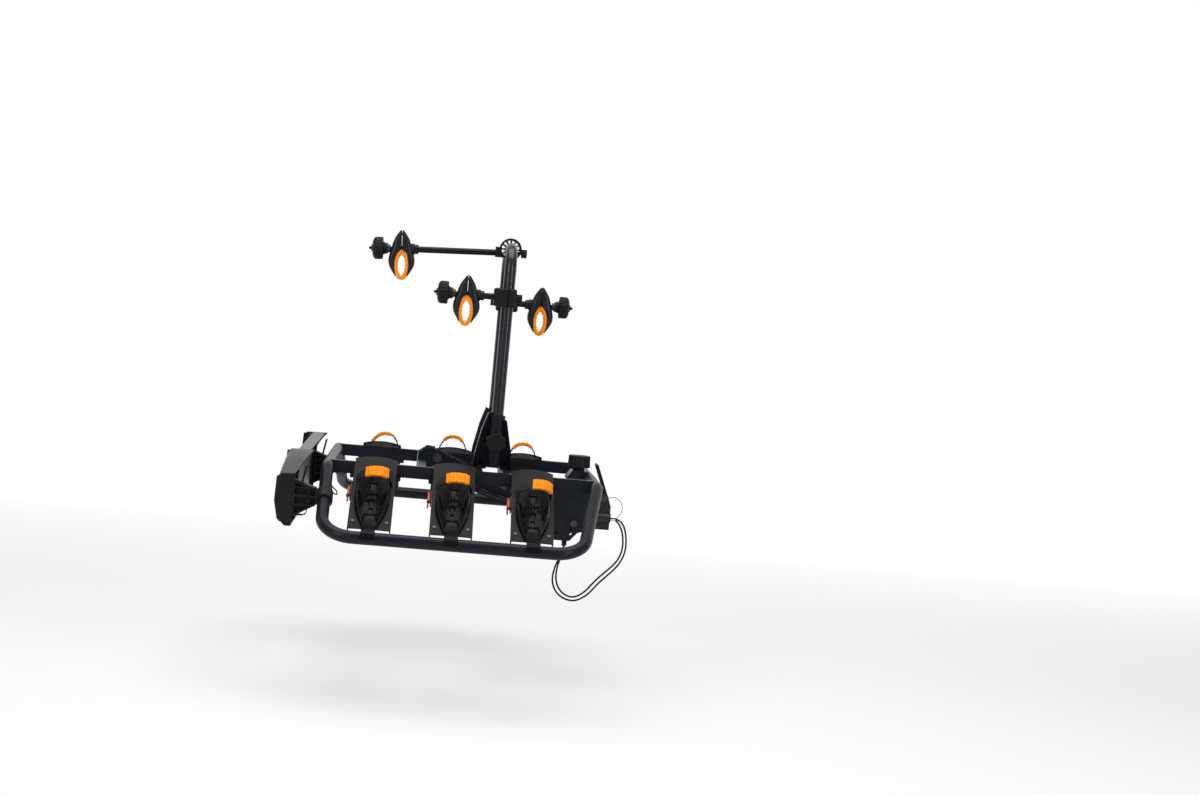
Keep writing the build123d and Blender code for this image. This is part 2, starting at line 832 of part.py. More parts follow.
# Coupling bracket: two side plates on a rear web and a floor
bracket_inner = bracket_half - bracket_wall
with BuildPart() as coupling_bracket:
    with BuildSketch(side_plane()):
        with BuildLine():
            Polyline(
                (-bracket_rear, -bracket_bottom),
                (-bracket_rear, bracket_top),
                (-bracket_front - bracket_shoulder, bracket_top),
                (-bracket_front, bracket_throat),
                (-bracket_front, -housing_bottom),
                (-bracket_knee, -bracket_knee_drop),
                (-bracket_toe, -bracket_bottom),
                close=True,
            )
        make_face()
    extrude(amount=bracket_half, both=True)
    with BuildSketch(side_plane()):
        with BuildLine():
            Polyline(
                (-bracket_rear + bracket_wall, -bracket_bottom + bracket_wall),
                (-bracket_rear + bracket_wall, bracket_top + overrun),
                (bracket_wall, bracket_top + overrun),
                (bracket_wall, -bracket_bottom + bracket_wall),
                close=True,
            )
        make_face()
    extrude(amount=bracket_inner, both=True, mode=Mode.SUBTRACT)
    # Raised rings and holes on both plates
    for side in (1, -1):
        with BuildSketch(side_plane(side * bracket_half)):
            with Locations((emboss_x, -emboss_drop)):
                Circle(emboss_dia / 2)
        extrude(amount=-side * emboss_rise, taper=emboss_taper)
    with Locations(Plane.XZ * Pos(emboss_x, -emboss_drop)):
        Cylinder(bracket_bolt_dia / 2 + pin_gap, 4 * bracket_half, mode=Mode.SUBTRACT)
    for x in (bracket_hole_rear, bracket_hole_front):
        with Locations(Plane.XZ * Pos(-x, -bracket_hole_drop)):
            Cylinder(bracket_hole_dia / 2, 4 * bracket_half, mode=Mode.SUBTRACT)
    with BuildSketch(side_plane()):
        with Locations((-bracket_hole_front, -bracket_hole_drop + bracket_slot_length)):
            SlotOverall(bracket_slot_length, bracket_hole_dia, rotation=90)
    extrude(amount=2 * bracket_half, both=True, mode=Mode.SUBTRACT)
save(coupling_bracket, "coupling_bracket")

# Pins and bolts of the coupling and the tilt pivot
pivot_half = cheek_out + side_gap + tilt_plate
with BuildPart() as hitch_fasteners:
    with BuildSketch(side_plane()):
        with Locations((jaw_pin_x, jaw_pin_z)):
            Circle(jaw_pin_dia / 2)
        with Locations((lever_pin_x, lever_pin_z)):
            Circle(lever_pin_dia / 2)
    extrude(amount=housing_half + pin_head / 2, both=True)
    for side in (1, -1):
        with BuildSketch(side_plane(-side * (housing_half + weld_gap))):
            with Locations((jaw_pin_x, jaw_pin_z), (lever_pin_x, lever_pin_z)):
                Circle(pin_head_dia / 2)
        extrude(amount=side * pin_head)
    with BuildSketch(side_plane()):
        with Locations((pivot_point_x, pivot_point_z)):
            Circle(pivot_dia / 2)
    extrude(amount=pivot_half + pivot_washer, both=True)
    for side in (1, -1):
        with BuildSketch(side_plane(-side * (pivot_half + slide_gap))):
            with Locations((pivot_point_x, pivot_point_z)):
                Circle(pivot_head_dia / 2)
        extrude(amount=side * pivot_washer)
        with BuildSketch(side_plane(-side * (pivot_half + slide_gap + pivot_washer))):
            with Locations((pivot_point_x, pivot_point_z)):
                RegularPolygon(pivot_head_dia / 2 - pivot_washer / 2, 6)
        extrude(amount=side * pivot_head)
    with BuildSketch(side_plane()):
        with Locations((emboss_x, -emboss_drop)):
            Circle(bracket_bolt_dia / 2)
    extrude(amount=bracket_half + emboss_rise, both=True)
    for side in (1, -1):
        with BuildSketch(side_plane(-side * (bracket_half + emboss_rise + weld_gap))):
            with Locations((emboss_x, -emboss_drop)):
                RegularPolygon(bracket_bolt_head_dia / 2, 6)
        extrude(amount=side * bracket_bolt_head)
save(hitch_fasteners, "hitch_fasteners")


# Folded mast brackets, each with its sleeve, collar and foot plates
foot_top = ball_to_deck - foot_member_drop
gusset_web = sleeve_dia / 2
with BuildPart() as mast_brackets:
    for side in (1, -1):
        web_y = side * (mast_y - gusset_web)
        with BuildSketch(side_plane(web_y)):
            with BuildLine() as gusset_line:
                Polyline(
                    (mast_center_x - gusset_foot_rear, foot_top),
                    (mast_center_x - gusset_low_rear, ball_to_deck + gusset_low),
                    (mast_center_x - gusset_knee_rear, ball_to_deck + gusset_knee),
                    (mast_center_x - gusset_top_rear, ball_to_deck + gusset_rear_height),
                    (mast_center_x + gusset_top_front, ball_to_deck + gusset_front_height),
                    (mast_center_x + gusset_low_front, ball_to_deck + gusset_low_front_height),
                    (mast_center_x + gusset_foot_front, foot_top),
                    close=True,
                )
            make_face()
        extrude(amount=-side * gusset_depth)
        # Hollow between the two flanges, open at the top and outside
        with BuildSketch(side_plane(web_y + side * gusset_wall)):
            with BuildLine():
                Polyline(
                    (mast_center_x - gusset_foot_rear + gusset_wall, foot_top + gusset_wall),
                    (mast_center_x - gusset_low_rear + gusset_wall, ball_to_deck + gusset_low),
                    (mast_center_x - gusset_knee_rear + gusset_wall, ball_to_deck + gusset_knee),
                    (mast_center_x - gusset_top_rear + gusset_wall, ball_to_deck + gusset_rear_height),
                    (mast_center_x - gusset_top_rear + gusset_wall, ball_to_deck + 2 * gusset_rear_height),
                    (mast_center_x + gusset_top_front - gusset_wall, ball_to_deck + 2 * gusset_rear_height),
                    (mast_center_x + gusset_top_front - gusset_wall, ball_to_deck + gusset_front_height),
                    (mast_center_x + gusset_low_front - gusset_wall, ball_to_deck + gusset_low_front_height),
                    (mast_center_x + gusset_foot_front - gusset_wall, foot_top + gusset_wall),
                    close=True,
                )
            make_face()
        extrude(amount=-side * gusset_depth, mode=Mode.SUBTRACT)
        # Arch in the base
        with BuildSketch(side_plane(side * mast_y)):
            with Locations((mast_center_x, foot_top)):
                Ellipse(arch_width / 2, arch_height)
        extrude(amount=2 * gusset_depth, both=True, mode=Mode.SUBTRACT)
        # Sleeve with its collar and the knob's boss
        with BuildSketch(Plane.XY.offset(foot_top + arch_height)):
            with Locations((mast_center_x, side * mast_y)):
                Circle(sleeve_dia / 2)
        extrude(amount=ball_to_deck + sleeve_height - foot_top - arch_height)
        with BuildSketch(Plane.XY.offset(ball_to_deck + sleeve_height)):
            with Locations((mast_center_x, side * mast_y)):
                Circle(collar_dia / 2)
        extrude(amount=-collar_height)
        with BuildSketch(side_plane(side * mast_y)):
            with Locations((mast_center_x, ball_to_deck + mast_knob_height)):
                Circle(mast_boss_dia / 2)
        extrude(amount=-side * (sleeve_dia / 2 + mast_boss))
        with BuildSketch(Plane.XY.offset(foot_top)):
            with Locations((mast_center_x, side * mast_y)):
                Circle(sleeve_bore / 2)
        extrude(amount=2 * sleeve_height, mode=Mode.SUBTRACT)
        with BuildSketch(side_plane(side * mast_y)):
            with Locations((mast_center_x, ball_to_deck + mast_knob_height)):
                Circle(mast_screw_dia / 2 + slide_gap)
        extrude(amount=-side * sleeve_dia, mode=Mode.SUBTRACT)
        # Bolt heads on the two foot plates
        bolt_y = side * (mast_y + gusset_depth - sleeve_dia / 2 - foot_bolt_head_dia)
        with BuildSketch(Plane.XY.offset(foot_top)):
            for x in (foot_member_rear, foot_member_front):
                with Locations((mid_x + x, bolt_y)):
                    RegularPolygon(foot_bolt_head_dia / 2, 6)
        extrude(amount=gusset_wall + foot_bolt_head)
save(mast_brackets, "mast_brackets")

# Inverted U mast
with BuildPart() as mast_tube:
    with BuildLine() as mast_path:
        FilletPolyline(
            (mast_center_x, -mast_y, ball_to_deck + mast_foot),
            (mast_center_x, -mast_y, mast_top_z),
            (mast_center_x, mast_y, mast_top_z),
            (mast_center_x, mast_y, ball_to_deck + mast_foot),
            radius=mast_bend,
        )
    with BuildSketch(Plane(origin=mast_path.line @ 0, z_dir=mast_path.line % 0)):
        Circle(mast_dia / 2)
        Circle(mast_dia / 2 - mast_wall, mode=Mode.SUBTRACT)
    sweep()
save(mast_tube, "mast_tube")

# Knobs that clamp the mast in its sleeves
for side, name in ((-1, "mast_knob_near"), (1, "mast_knob_far")):
    outward = Vector(0, side, 0)
    face_y = side * (mast_y + sleeve_dia / 2 + mast_boss + slide_gap)
    seat = Plane(origin=(mast_center_x, face_y, ball_to_deck + mast_knob_height), z_dir=outward)
    with BuildPart() as mast_knob:
        with BuildSketch(seat):
            Circle(mast_boss_dia / 2)
        extrude(amount=mast_boss)
        with BuildSketch(seat.offset(mast_boss)):
            Circle(mast_knob_dia / 2)
            with PolarLocations(mast_knob_dia / 2 + claw_knob_lobe_dia / 4, claw_knob_lobes):
                Circle(claw_knob_lobe_dia / 2, mode=Mode.SUBTRACT)
        extrude(amount=mast_knob_depth - mast_boss)
        rim = mast_knob.faces().sort_by(Axis(seat.origin, outward))[-1]
        fillet(rim.edges(), mast_boss / 2)
        with BuildSketch(seat):
            Circle(mast_screw_dia / 2)
        extrude(amount=-(sleeve_dia - mast_dia) / 2 - mast_boss)
    save(mast_knob, name)


def claw_frame(center, outward):
    """The plane of a claw: x along its arm, y up the claw, origin on the arm's axis."""
    up = Vector(0, 1, 0).cross(outward)
    if up.Z < 0:
        up = -up
    return Plane(origin=center, x_dir=outward, z_dir=outward.cross(up))


def half_outline(s):
    """Half of a claw's almond outline, s = 1 for the outer jaw and -1 for the inner."""
    with BuildSketch() as outline:
        with BuildLine():
            low = Line((s * claw_split, -claw_reach), (s * claw_toe, -claw_reach))
            TangentArc((s * claw_half, 0), low @ 1, tangent=(0, -1))
            brow = TangentArc((s * claw_half, 0), (s * knuckle_radius, claw_pin_rise), tangent=(0, 1))
            Polyline(brow @ 1, (s * claw_split, claw_pin_rise), low @ 0)
        make_face()
    return outline.sketch


def half_recess(s, top, shoulder, width, toe, reach, gap):
    """Half of the hollow under the arm that holds a liner."""
    with BuildSketch() as outline:
        with BuildLine():
            start = Line((s * claw_split, -top - gap), (s * width / 2, -top - gap))
            corner = Line(start @ 1, (s * (width - gap), -shoulder))
            side = TangentArc(corner @ 1, (s * toe, -reach + gap), tangent=(0, -1))
            Polyline(side @ 1, (s * claw_split, -reach + gap), start @ 0)
        make_face()
    return outline.sketch


def build_claw(label, frame, arm_back):
    """One claw with its jaws, liners, washer and knob; arm_back is its distance from the clamp."""
    across = frame.z_dir
    outward = frame.x_dir

    with BuildPart() as fixed:
        with BuildSketch(frame):
            add(half_outline(-1))
        extrude(amount=claw_half_thickness, both=True)
        for s in (1, -1):
            with BuildSketch(frame.offset(s * (knuckle_half + knuckle_gap))):
                with Locations((0, claw_pin_rise)):
                    Circle(knuckle_radius)
            extrude(amount=s * (claw_half_thickness - knuckle_half - knuckle_gap))
        with BuildSketch(frame):
            with Locations((0, claw_pin_rise)):
                Circle(knuckle_radius + knuckle_gap)
        extrude(amount=knuckle_half + knuckle_gap, both=True, mode=Mode.SUBTRACT)
        with BuildSketch(frame):
            add(half_recess(-1, recess_top, recess_shoulder, recess_half, recess_toe, recess_reach, 0))
        extrude(amount=claw_half_thickness, both=True, mode=Mode.SUBTRACT)
        with BuildSketch(Plane(origin=frame.origin, z_dir=outward)):
            Circle(arm_dia / 2 + slide_gap / 2)
        extrude(amount=-2 * claw_half, mode=Mode.SUBTRACT)
        with BuildSketch(frame):
            with Locations((0, claw_pin_rise)):
                Circle(claw_pin_dia / 2 + pin_gap)
        extrude(amount=claw_half_thickness, both=True, mode=Mode.SUBTRACT)
        # The hinge pin, a piece of its own in the inner jaw's ears
        with BuildSketch(frame):
            with Locations((0, claw_pin_rise)):
                Circle(claw_pin_dia / 2)
        extrude(amount=claw_half_thickness, both=True)
    save(fixed, f"claw_jaw_fixed_{label}")

    with BuildPart() as moving:
        with BuildSketch(frame):
            add(half_outline(1))
        extrude(amount=claw_half_thickness, both=True)
        with BuildSketch(frame):
            with Locations((0, claw_pin_rise)):
                Circle(knuckle_radius + knuckle_gap)
        extrude(amount=claw_half_thickness, both=True, mode=Mode.SUBTRACT)
        with BuildSketch(frame):
            with Locations((0, claw_pin_rise)):
                Circle(knuckle_radius)
            with Locations((knuckle_radius, claw_pin_rise - knuckle_radius)):
                Rectangle(knuckle_radius, knuckle_radius)
        extrude(amount=knuckle_half, both=True)
        with BuildSketch(frame):
            add(half_recess(1, recess_top, recess_shoulder, recess_half, recess_toe, recess_reach, 0))
        extrude(amount=claw_half_thickness, both=True, mode=Mode.SUBTRACT)
        with BuildSketch(frame):
            with BuildLine():
                Polyline(
                    (0, slot_rise),
                    (claw_half + claw_split, slot_rise),
                    (claw_half + claw_split, -slot_outer_drop),
                    (0, -slot_inner_drop),
                    close=True,
                )
            make_face()
        extrude(amount=slot_half, both=True, mode=Mode.SUBTRACT)
        with BuildSketch(frame):
            with Locations((0, claw_pin_rise)):
                Circle(claw_pin_dia / 2 + pin_gap)
        extrude(amount=claw_half_thickness, both=True, mode=Mode.SUBTRACT)
    save(moving, f"claw_jaw_moving_{label}")

    for s, side_name in ((-1, "fixed"), (1, "moving")):
        with BuildPart() as liner:
            with BuildSketch(frame):
                add(
                    half_recess(
                        s, recess_top, recess_shoulder, recess_half, recess_toe, recess_reach, liner_gap
                    )
                )
            extrude(amount=claw_half_thickness, both=True)
            with BuildSketch(frame):
                with BuildLine():
                    top = Line((s * claw_split, -mouth_top), (s * mouth_half / 2, -mouth_top))
                    corner = Line(top @ 1, (s * mouth_half, -mouth_top - mouth_half / 2))
                    wall = TangentArc(corner @ 1, (s * recess_toe, -mouth_reach), tangent=(0, -1))
                    foot = Polyline(wall @ 1, (s * claw_split, -mouth_reach), (0, -mouth_reach))
                    Polyline(foot @ 1, (0, -mouth_top), top @ 0)
                make_face()
                for i in range(liner_teeth):
                    with Locations(wall @ ((i + 1) / (liner_teeth + 1))):
                        Circle(liner_notch_radius)
            extrude(amount=claw_half_thickness, both=True, mode=Mode.SUBTRACT)
        save(liner, f"claw_liner_{side_name}_{label}")

    # Thrust washer and hand knob on the arm's thread
    seat = Plane(origin=frame.origin + outward * (claw_half + slide_gap), z_dir=outward)
    with BuildPart() as washer:
        with BuildSketch(seat):
            Circle(washer_dia / 2)
            Circle(arm_thread_dia / 2 + slide_gap, mode=Mode.SUBTRACT)
        extrude(amount=washer_thickness)
    save(washer, f"claw_washer_{label}")

    base = seat.offset(washer_thickness + pin_gap)
    with BuildPart() as knob:
        with BuildSketch(base):
            Circle(claw_knob_neck_dia / 2)
        with BuildSketch(base.offset(claw_knob_cone)):
            Circle(claw_knob_shoulder_dia / 2)
        loft()
        with BuildSketch(base.offset(claw_knob_cone)):
            Circle(claw_knob_dia / 2)
            with PolarLocations(claw_knob_dia / 2 + claw_knob_lobe_dia / 4, claw_knob_lobes):
                Circle(claw_knob_lobe_dia / 2, mode=Mode.SUBTRACT)
        extrude(amount=claw_knob_disc)
        rim = knob.faces().sort_by(Axis(base.origin, outward))[-1]
        fillet(rim.edges(), washer_thickness)
        with BuildSketch(base.offset(claw_knob_cone + claw_knob_disc)):
            Circle(claw_knob_tip_dia / 2)
        extrude(amount=claw_knob_tip)
        with BuildSketch(base):
            Circle(arm_thread_dia / 2 + slide_gap)
        extrude(amount=claw_knob_bore, mode=Mode.SUBTRACT)
    save(knob, f"claw_knob_{label}")

    # Arm: plain rod, collar behind the claw, thread beyond the inner jaw
    with BuildPart() as arm:
        with BuildSketch(Plane(origin=frame.origin - outward * arm_back, z_dir=outward)):
            Circle(arm_dia / 2)
        extrude(amount=arm_back)
        with BuildSketch(Plane(origin=frame.origin - outward * (claw_half + slide_gap), z_dir=-outward)):
            Circle(arm_collar_dia / 2)
        extrude(amount=arm_collar)
        with BuildSketch(Plane(origin=frame.origin, z_dir=outward)):
            Circle(arm_thread_dia / 2)
        extrude(amount=arm_thread_length)
        chamfer(arm.faces().sort_by(Axis(frame.origin, outward))[-1].edges(), pivot_washer / 2)
    save(arm, f"arm_{label}")


droop = radians(top_arm_droop)
top_out = Vector(-cos(droop), 0, -sin(droop))
top_root = Vector(mast_center_x, 0, mast_top_z) + Vector(0, 0, -top_arm_drop)
top_frame = claw_frame(top_root + top_out * top_arm_reach, top_out)
near_out = Vector(-1, 0, 0)
near_root = Vector(mast_center_x, -mast_y, near_arm_height + ball_to_deck)
near_frame = claw_frame(near_root + near_out * near_arm_reach, near_out)
far_out = Vector(1, 0, 0)
far_root = Vector(mast_center_x, mast_y, far_arm_height + ball_to_deck)
far_frame = claw_frame(far_root + far_out * far_arm_reach, far_out)

ring_face = ring_outer + ring_block / 2
build_claw("top", top_frame, top_arm_reach - ring_face + arm_seat)
build_claw("near", near_frame, near_arm_reach - clamp_reach + arm_seat)
build_claw("far", far_frame, far_arm_reach - clamp_reach + arm_seat)

# Clamps that hold the two middle arms on the mast's legs
for label, root, out in (("near", near_root, near_out), ("far", far_root, far_out)):
    level = Plane(origin=root, x_dir=out, z_dir=(0, 0, 1))
    with BuildPart() as clamp:
        with BuildSketch(level):
            with Locations(((clamp_reach - clamp_back) / 2, 0)):
                Rectangle(clamp_reach + clamp_back, 2 * clamp_half_width)
        extrude(amount=clamp_height / 2, both=True)
        fillet(clamp.edges(), clamp_round)
        with BuildSketch(level):
            Circle(mast_dia / 2 + pin_gap)
        extrude(amount=clamp_height, both=True, mode=Mode.SUBTRACT)
        with BuildSketch(level):
            with Locations((0, clamp_half_width)):
                Rectangle(clamp_slit, clamp_half_width)
        extrude(amount=clamp_height, both=True, mode=Mode.SUBTRACT)
        with BuildSketch(Plane(origin=root + out * (clamp_reach - arm_seat), z_dir=out)):
            Circle(arm_dia / 2 + pin_gap)
        extrude(amount=2 * arm_seat, mode=Mode.SUBTRACT)
        with BuildSketch(Plane(origin=root, z_dir=-out)):
            Circle(clamp_screw_dia / 2 + slide_gap)
        extrude(amount=2 * clamp_reach, mode=Mode.SUBTRACT)
    save(clamp, f"arm_clamp_{label}")

# Toothed ring that holds the top arm on the mast's crown
ring_center = Vector(mast_center_x, 0, mast_top_z)
with BuildPart() as ring_clamp:
    with BuildSketch(side_plane()):
        with Locations((ring_center.X, ring_center.Z)):
            Circle(ring_outer)
        with Locations((ring_center.X - ring_outer, ring_center.Z - top_arm_drop)):
            Rectangle(ring_block, ring_block_height)
    extrude(amount=ring_half_width, both=True)
    fillet(ring_clamp.edges().filter_by(GeomType.LINE).filter_by(Axis.Z), clamp_round / 2)
    with BuildSketch(side_plane()):
        with Locations((ring_center.X, ring_center.Z)):
            Circle(ring_inner)
    extrude(amount=2 * ring_half_width, both=True, mode=Mode.SUBTRACT)
    with BuildSketch(side_plane()):
        with Locations((ring_center.X, ring_center.Z)):
            with PolarLocations((ring_inner + mast_dia / 2) / 2 + pin_gap, ring_teeth):
                Rectangle(ring_inner - mast_dia / 2 + slide_gap, ring_tooth_width)
    extrude(amount=ring_half_width, both=True)
    with BuildSketch(side_plane()):
        with Locations((ring_center.X, ring_center.Z)):
            Circle(mast_dia / 2 + pin_gap)
    extrude(amount=2 * ring_half_width, both=True, mode=Mode.SUBTRACT)
    with BuildSketch(Plane(origin=top_root + top_out * (ring_face - arm_seat), z_dir=top_out)):
        Circle(arm_dia / 2 + pin_gap)
    extrude(amount=2 * arm_seat, mode=Mode.SUBTRACT)
    with BuildSketch(Plane(origin=ring_center - Vector(0, 0, ring_screw_drop), z_dir=(1, 0, 0))):
        Circle(clamp_screw_dia / 2 + slide_gap)
    extrude(amount=2 * ring_outer, mode=Mode.SUBTRACT)
save(ring_clamp, "arm_clamp_top")

# Small knobs that lock each arm clamp
clamp_screw_depth = clamp_back - mast_dia / 2 - slide_gap
clamp_seats = (
    ("near", near_root - near_out * (clamp_back + slide_gap), -near_out, clamp_screw_depth),
    ("far", far_root - far_out * (clamp_back + slide_gap), -far_out, clamp_screw_depth),
    (
        "top",
        ring_center + Vector(ring_outer + slide_gap, 0, -ring_screw_drop),
        Vector(1, 0, 0),
        ring_outer - mast_dia / 2 + slide_gap,
    ),
)
for label, point, out, depth in clamp_seats:
    seat = Plane(origin=point, z_dir=out)
    with BuildPart() as clamp_knob:
        with BuildSketch(seat):
            Circle(clamp_knob_dia / 2)
            with PolarLocations(clamp_knob_dia / 2 + clamp_slit / 2, claw_knob_lobes):
                Circle(clamp_slit, mode=Mode.SUBTRACT)
        extrude(amount=clamp_knob_depth)
        with BuildSketch(seat):
            Circle(clamp_screw_dia / 2)
        extrude(amount=-depth)
    save(clamp_knob, f"arm_knob_{label}")


# Wheel trays. A side view of one tray: a gentle arc from the rail to its low edge
tray_chord = Vector(0, cos(radians(tray_slope)), -sin(radians(tray_slope)))
tray_normal = Vector(0, sin(radians(tray_slope)), cos(radians(tray_slope)))
tray_top = Vector(0, tray_top_y, ball_to_deck + tray_top_rise)
tray_low = tray_top + tray_chord * tray_length
tray_crown = tray_top + tray_chord * (tray_length / 2) + tray_normal * tray_belly
tray_arc = Edge.make_three_point_arc(tray_top, tray_crown, tray_low)


def tray_plane(share):
    """The cross-section plane of a far tray at a share of its arc: x along X, y off the surface."""
    return Plane(origin=tray_arc @ share, x_dir=(1, 0, 0), z_dir=-(tray_arc % share))


def arch_at(share):
    """How far the tray's middle stands above its edges."""
    return tray_arch_top + (tray_arch_low - tray_arch_top) * share


def tray_block(gap, depth, below):
    """A solid with the tray's top surface plus a gap, reaching down below it."""
    with BuildPart() as block:
        for share in (0, 1 / 2, 1):
            half = tray_width / 2 + gap
            with BuildSketch(tray_plane(share)):
                with BuildLine():
                    foot = gap - below
                    arch = ThreePointArc((-half, foot), (0, foot + arch_at(share)), (half, foot))
                    Polyline(arch @ 1, (half, -depth), (-half, -depth), arch @ 0)
                make_face()
        loft()
    return block.part


solid_below = tray_block(strap_gap, 4 * tray_skirt, 0)


def both_sides_everywhere(piece):
    """Copies of a far-side piece under every tray place, with their mirrored near twins."""
    twin = mirror(piece, about=Plane.XZ)
    return [Pos(x, 0, 0) * one for x in tray_xs for one in (piece, twin)]


with BuildPart() as one_tray:
    add(tray_block(0, tray_skirt, 0))
    with BuildPart(mode=Mode.PRIVATE) as inside:
        for share in (0, 1 / 2, 1):
            half = tray_width / 2 - tray_wall
            with BuildSketch(tray_plane(share)):
                with BuildLine():
                    arch = ThreePointArc(
                        (-half, -tray_wall), (0, arch_at(share) - tray_wall), (half, -tray_wall)
                    )
                    Polyline(arch @ 1, (half, -2 * tray_skirt), (-half, -2 * tray_skirt), arch @ 0)
                make_face()
        loft()
    add(inside.part, mode=Mode.SUBTRACT)
    # Room for the rail under the top end
    with BuildSketch(Plane.YZ.offset(-tray_width)):
        with Locations((rail_y, ball_to_deck - rail_height + weld_gap)):
            Rectangle(rail_width + 2 * weld_gap, 2 * rail_height)
    extrude(amount=2 * tray_width, mode=Mode.SUBTRACT)
    # Drain holes by the low corners
    low_hole = tray_plane(1 - tray_hole_inset / tray_length)
    with BuildSketch(Plane(origin=low_hole.origin, x_dir=(1, 0, 0), z_dir=low_hole.y_dir)):
        for x in (-1, 1):
            with Locations((x * (tray_width / 2 - tray_hole_inset / 2), 0)):
                Circle(tray_hole_dia / 2)
    extrude(amount=2 * tray_skirt, both=True, mode=Mode.SUBTRACT)
tray_copies = both_sides_everywhere(one_tray.part)
with BuildPart() as trays:
    add(tray_copies)
save(trays, "trays")

# Wheel cradle: a tongue with a groove for the tyre, ribs, and a saddle over the hoop
start_share = cradle_start / tray_length
end_share = cradle_end / tray_length
cradle_plane = Plane(origin=tray_top, x_dir=(1, 0, 0), z_dir=tray_normal)
with BuildPart() as cradle:
    with BuildLine() as cradle_path:
        ThreePointArc(tray_arc @ start_share, tray_arc @ ((start_share + end_share) / 2), tray_arc @ end_share)
    with BuildSketch(tray_plane(start_share)):
        with BuildLine():
            Polyline(
                (-cradle_half, 0),
                (-cradle_half, cradle_height - rib_wall),
                (-cradle_half + rib_wall, cradle_height),
                (-groove_half, cradle_height),
                (0, groove_floor + arch_at(start_share)),
                (groove_half, cradle_height),
                (cradle_half - rib_wall, cradle_height),
                (cradle_half, cradle_height - rib_wall),
                (cradle_half, 0),
                close=True,
            )
        make_face()
    sweep(path=cradle_path.line)
    with BuildSketch(cradle_plane) as outline:
        with BuildLine():
            FilletPolyline(
                (-cradle_half + 2 * rib_wall, cradle_start - overrun),
                (-cradle_half, cradle_shoulder - 2 * rib_wall),
                (-cradle_half, cradle_shoulder + 2 * rib_wall),
                (-cradle_tail_half, cradle_hole_at + cradle_half),
                (-cradle_tail_half, cradle_end + overrun),
                (cradle_tail_half, cradle_end + overrun),
                (cradle_tail_half, cradle_hole_at + cradle_half),
                (cradle_half, cradle_shoulder + 2 * rib_wall),
                (cradle_half, cradle_shoulder - 2 * rib_wall),
                (cradle_half - 2 * rib_wall, cradle_start - overrun),
                close=True,
                radius=rib_wall,
            )
        make_face()
    extrude(amount=4 * cradle_height, both=True, mode=Mode.INTERSECT)
    # Cross ribs in the groove
    for i in range(cradle_rib_count):
        share = start_share + (end_share - start_share) * (i + 1) / (cradle_rib_count + 2)
        with BuildSketch(tray_plane(share)):
            with BuildLine():
                Polyline(
                    (-groove_half * 3 / 4, cradle_height * 3 / 4),
                    (0, cradle_height / 2),
                    (groove_half * 3 / 4, cradle_height * 3 / 4),
                    (0, rib_wall),
                    close=True,
                )
            make_face()
        extrude(amount=rib_wall / 2, both=True)
    # Square hole through the tongue and two slots in its tail
    with BuildSketch(cradle_plane):
        with Locations((0, cradle_hole_at)):
            Rectangle(cradle_hole, cradle_hole)
        for x in (-1, 1):
            with Locations((x * tail_slot_offset, tail_slot_at)):
                SlotOverall(tail_slot_length, tail_slot_width, rotation=90)
    extrude(amount=4 * cradle_height, both=True, mode=Mode.SUBTRACT)
    # Tail plate that reaches out over the hoop
    tail = tray_arc @ end_share
    hoop_top = hoop_z + loop_tube / 2
    with BuildSketch(end_plane()):
        with BuildLine():
            Polyline(
                (tail.Y - 4 * saddle_wall, tail.Z + 4 * saddle_wall),
                (tail.Y + saddle_wall, tail.Z + 2 * saddle_wall),
                (hoop_reach, hoop_top + saddle_gap + saddle_wall),
                (hoop_reach, hoop_top + saddle_gap),
                (tray_low_y + saddle_wall, hoop_top + saddle_gap),
                (tail.Y - 4 * saddle_wall, tail.Z + 2 * saddle_wall),
                close=True,
            )
        make_face()
        with Locations((hoop_reach, hoop_z)):
            Circle(loop_tube / 2 + saddle_gap + saddle_wall)
        with Locations((hoop_reach, hoop_z - loop_tube)):
            Rectangle(2 * loop_tube, 2 * loop_tube, mode=Mode.SUBTRACT)
    extrude(amount=saddle_width / 2, both=True)
    with BuildSketch(end_plane()):
        with Locations((hoop_reach, hoop_z)):
            Circle(loop_tube / 2 + saddle_gap)
    extrude(amount=saddle_width, both=True, mode=Mode.SUBTRACT)
    add(solid_below, mode=Mode.SUBTRACT)
cradle_copies = both_sides_everywhere(cradle.part)
with BuildPart() as wheel_cradles:
    add(cradle_copies)
save(wheel_cradles, "wheel_cradles")

# Straps: an arch of webbing that leans outwards on the near side and stands up on the far side
strap_share = strap_at / tray_length
buckle_share = buckle_at / tray_length
strap_foot = tray_arc @ strap_share
lean = radians(near_strap_lean)
strap_planes = {
    "near": Plane(origin=strap_foot, x_dir=(1, 0, 0), z_dir=(0, -cos(lean), sin(lean))),
    "far": Plane(origin=strap_foot, x_dir=(1, 0, 0), z_dir=(0, -1, 0)),
}


def strap_arch(plane):
    """The webbing of one strap in its plane, cut to the tray's surface."""
    with BuildPart() as band:
        with BuildSketch(plane):
            with BuildLine():
                left = Line((-strap_half, -strap_root), (-strap_half, strap_leg))
                bow = ThreePointArc(left @ 1, (0, strap_leg + strap_half), (strap_half, strap_leg))
                Line(bow @ 1, (strap_half, -strap_root))
            trace(line_width=strap_wall)
        extrude(amount=strap_width / 2, both=True)
        add(solid_below, mode=Mode.SUBTRACT)
    return band.part


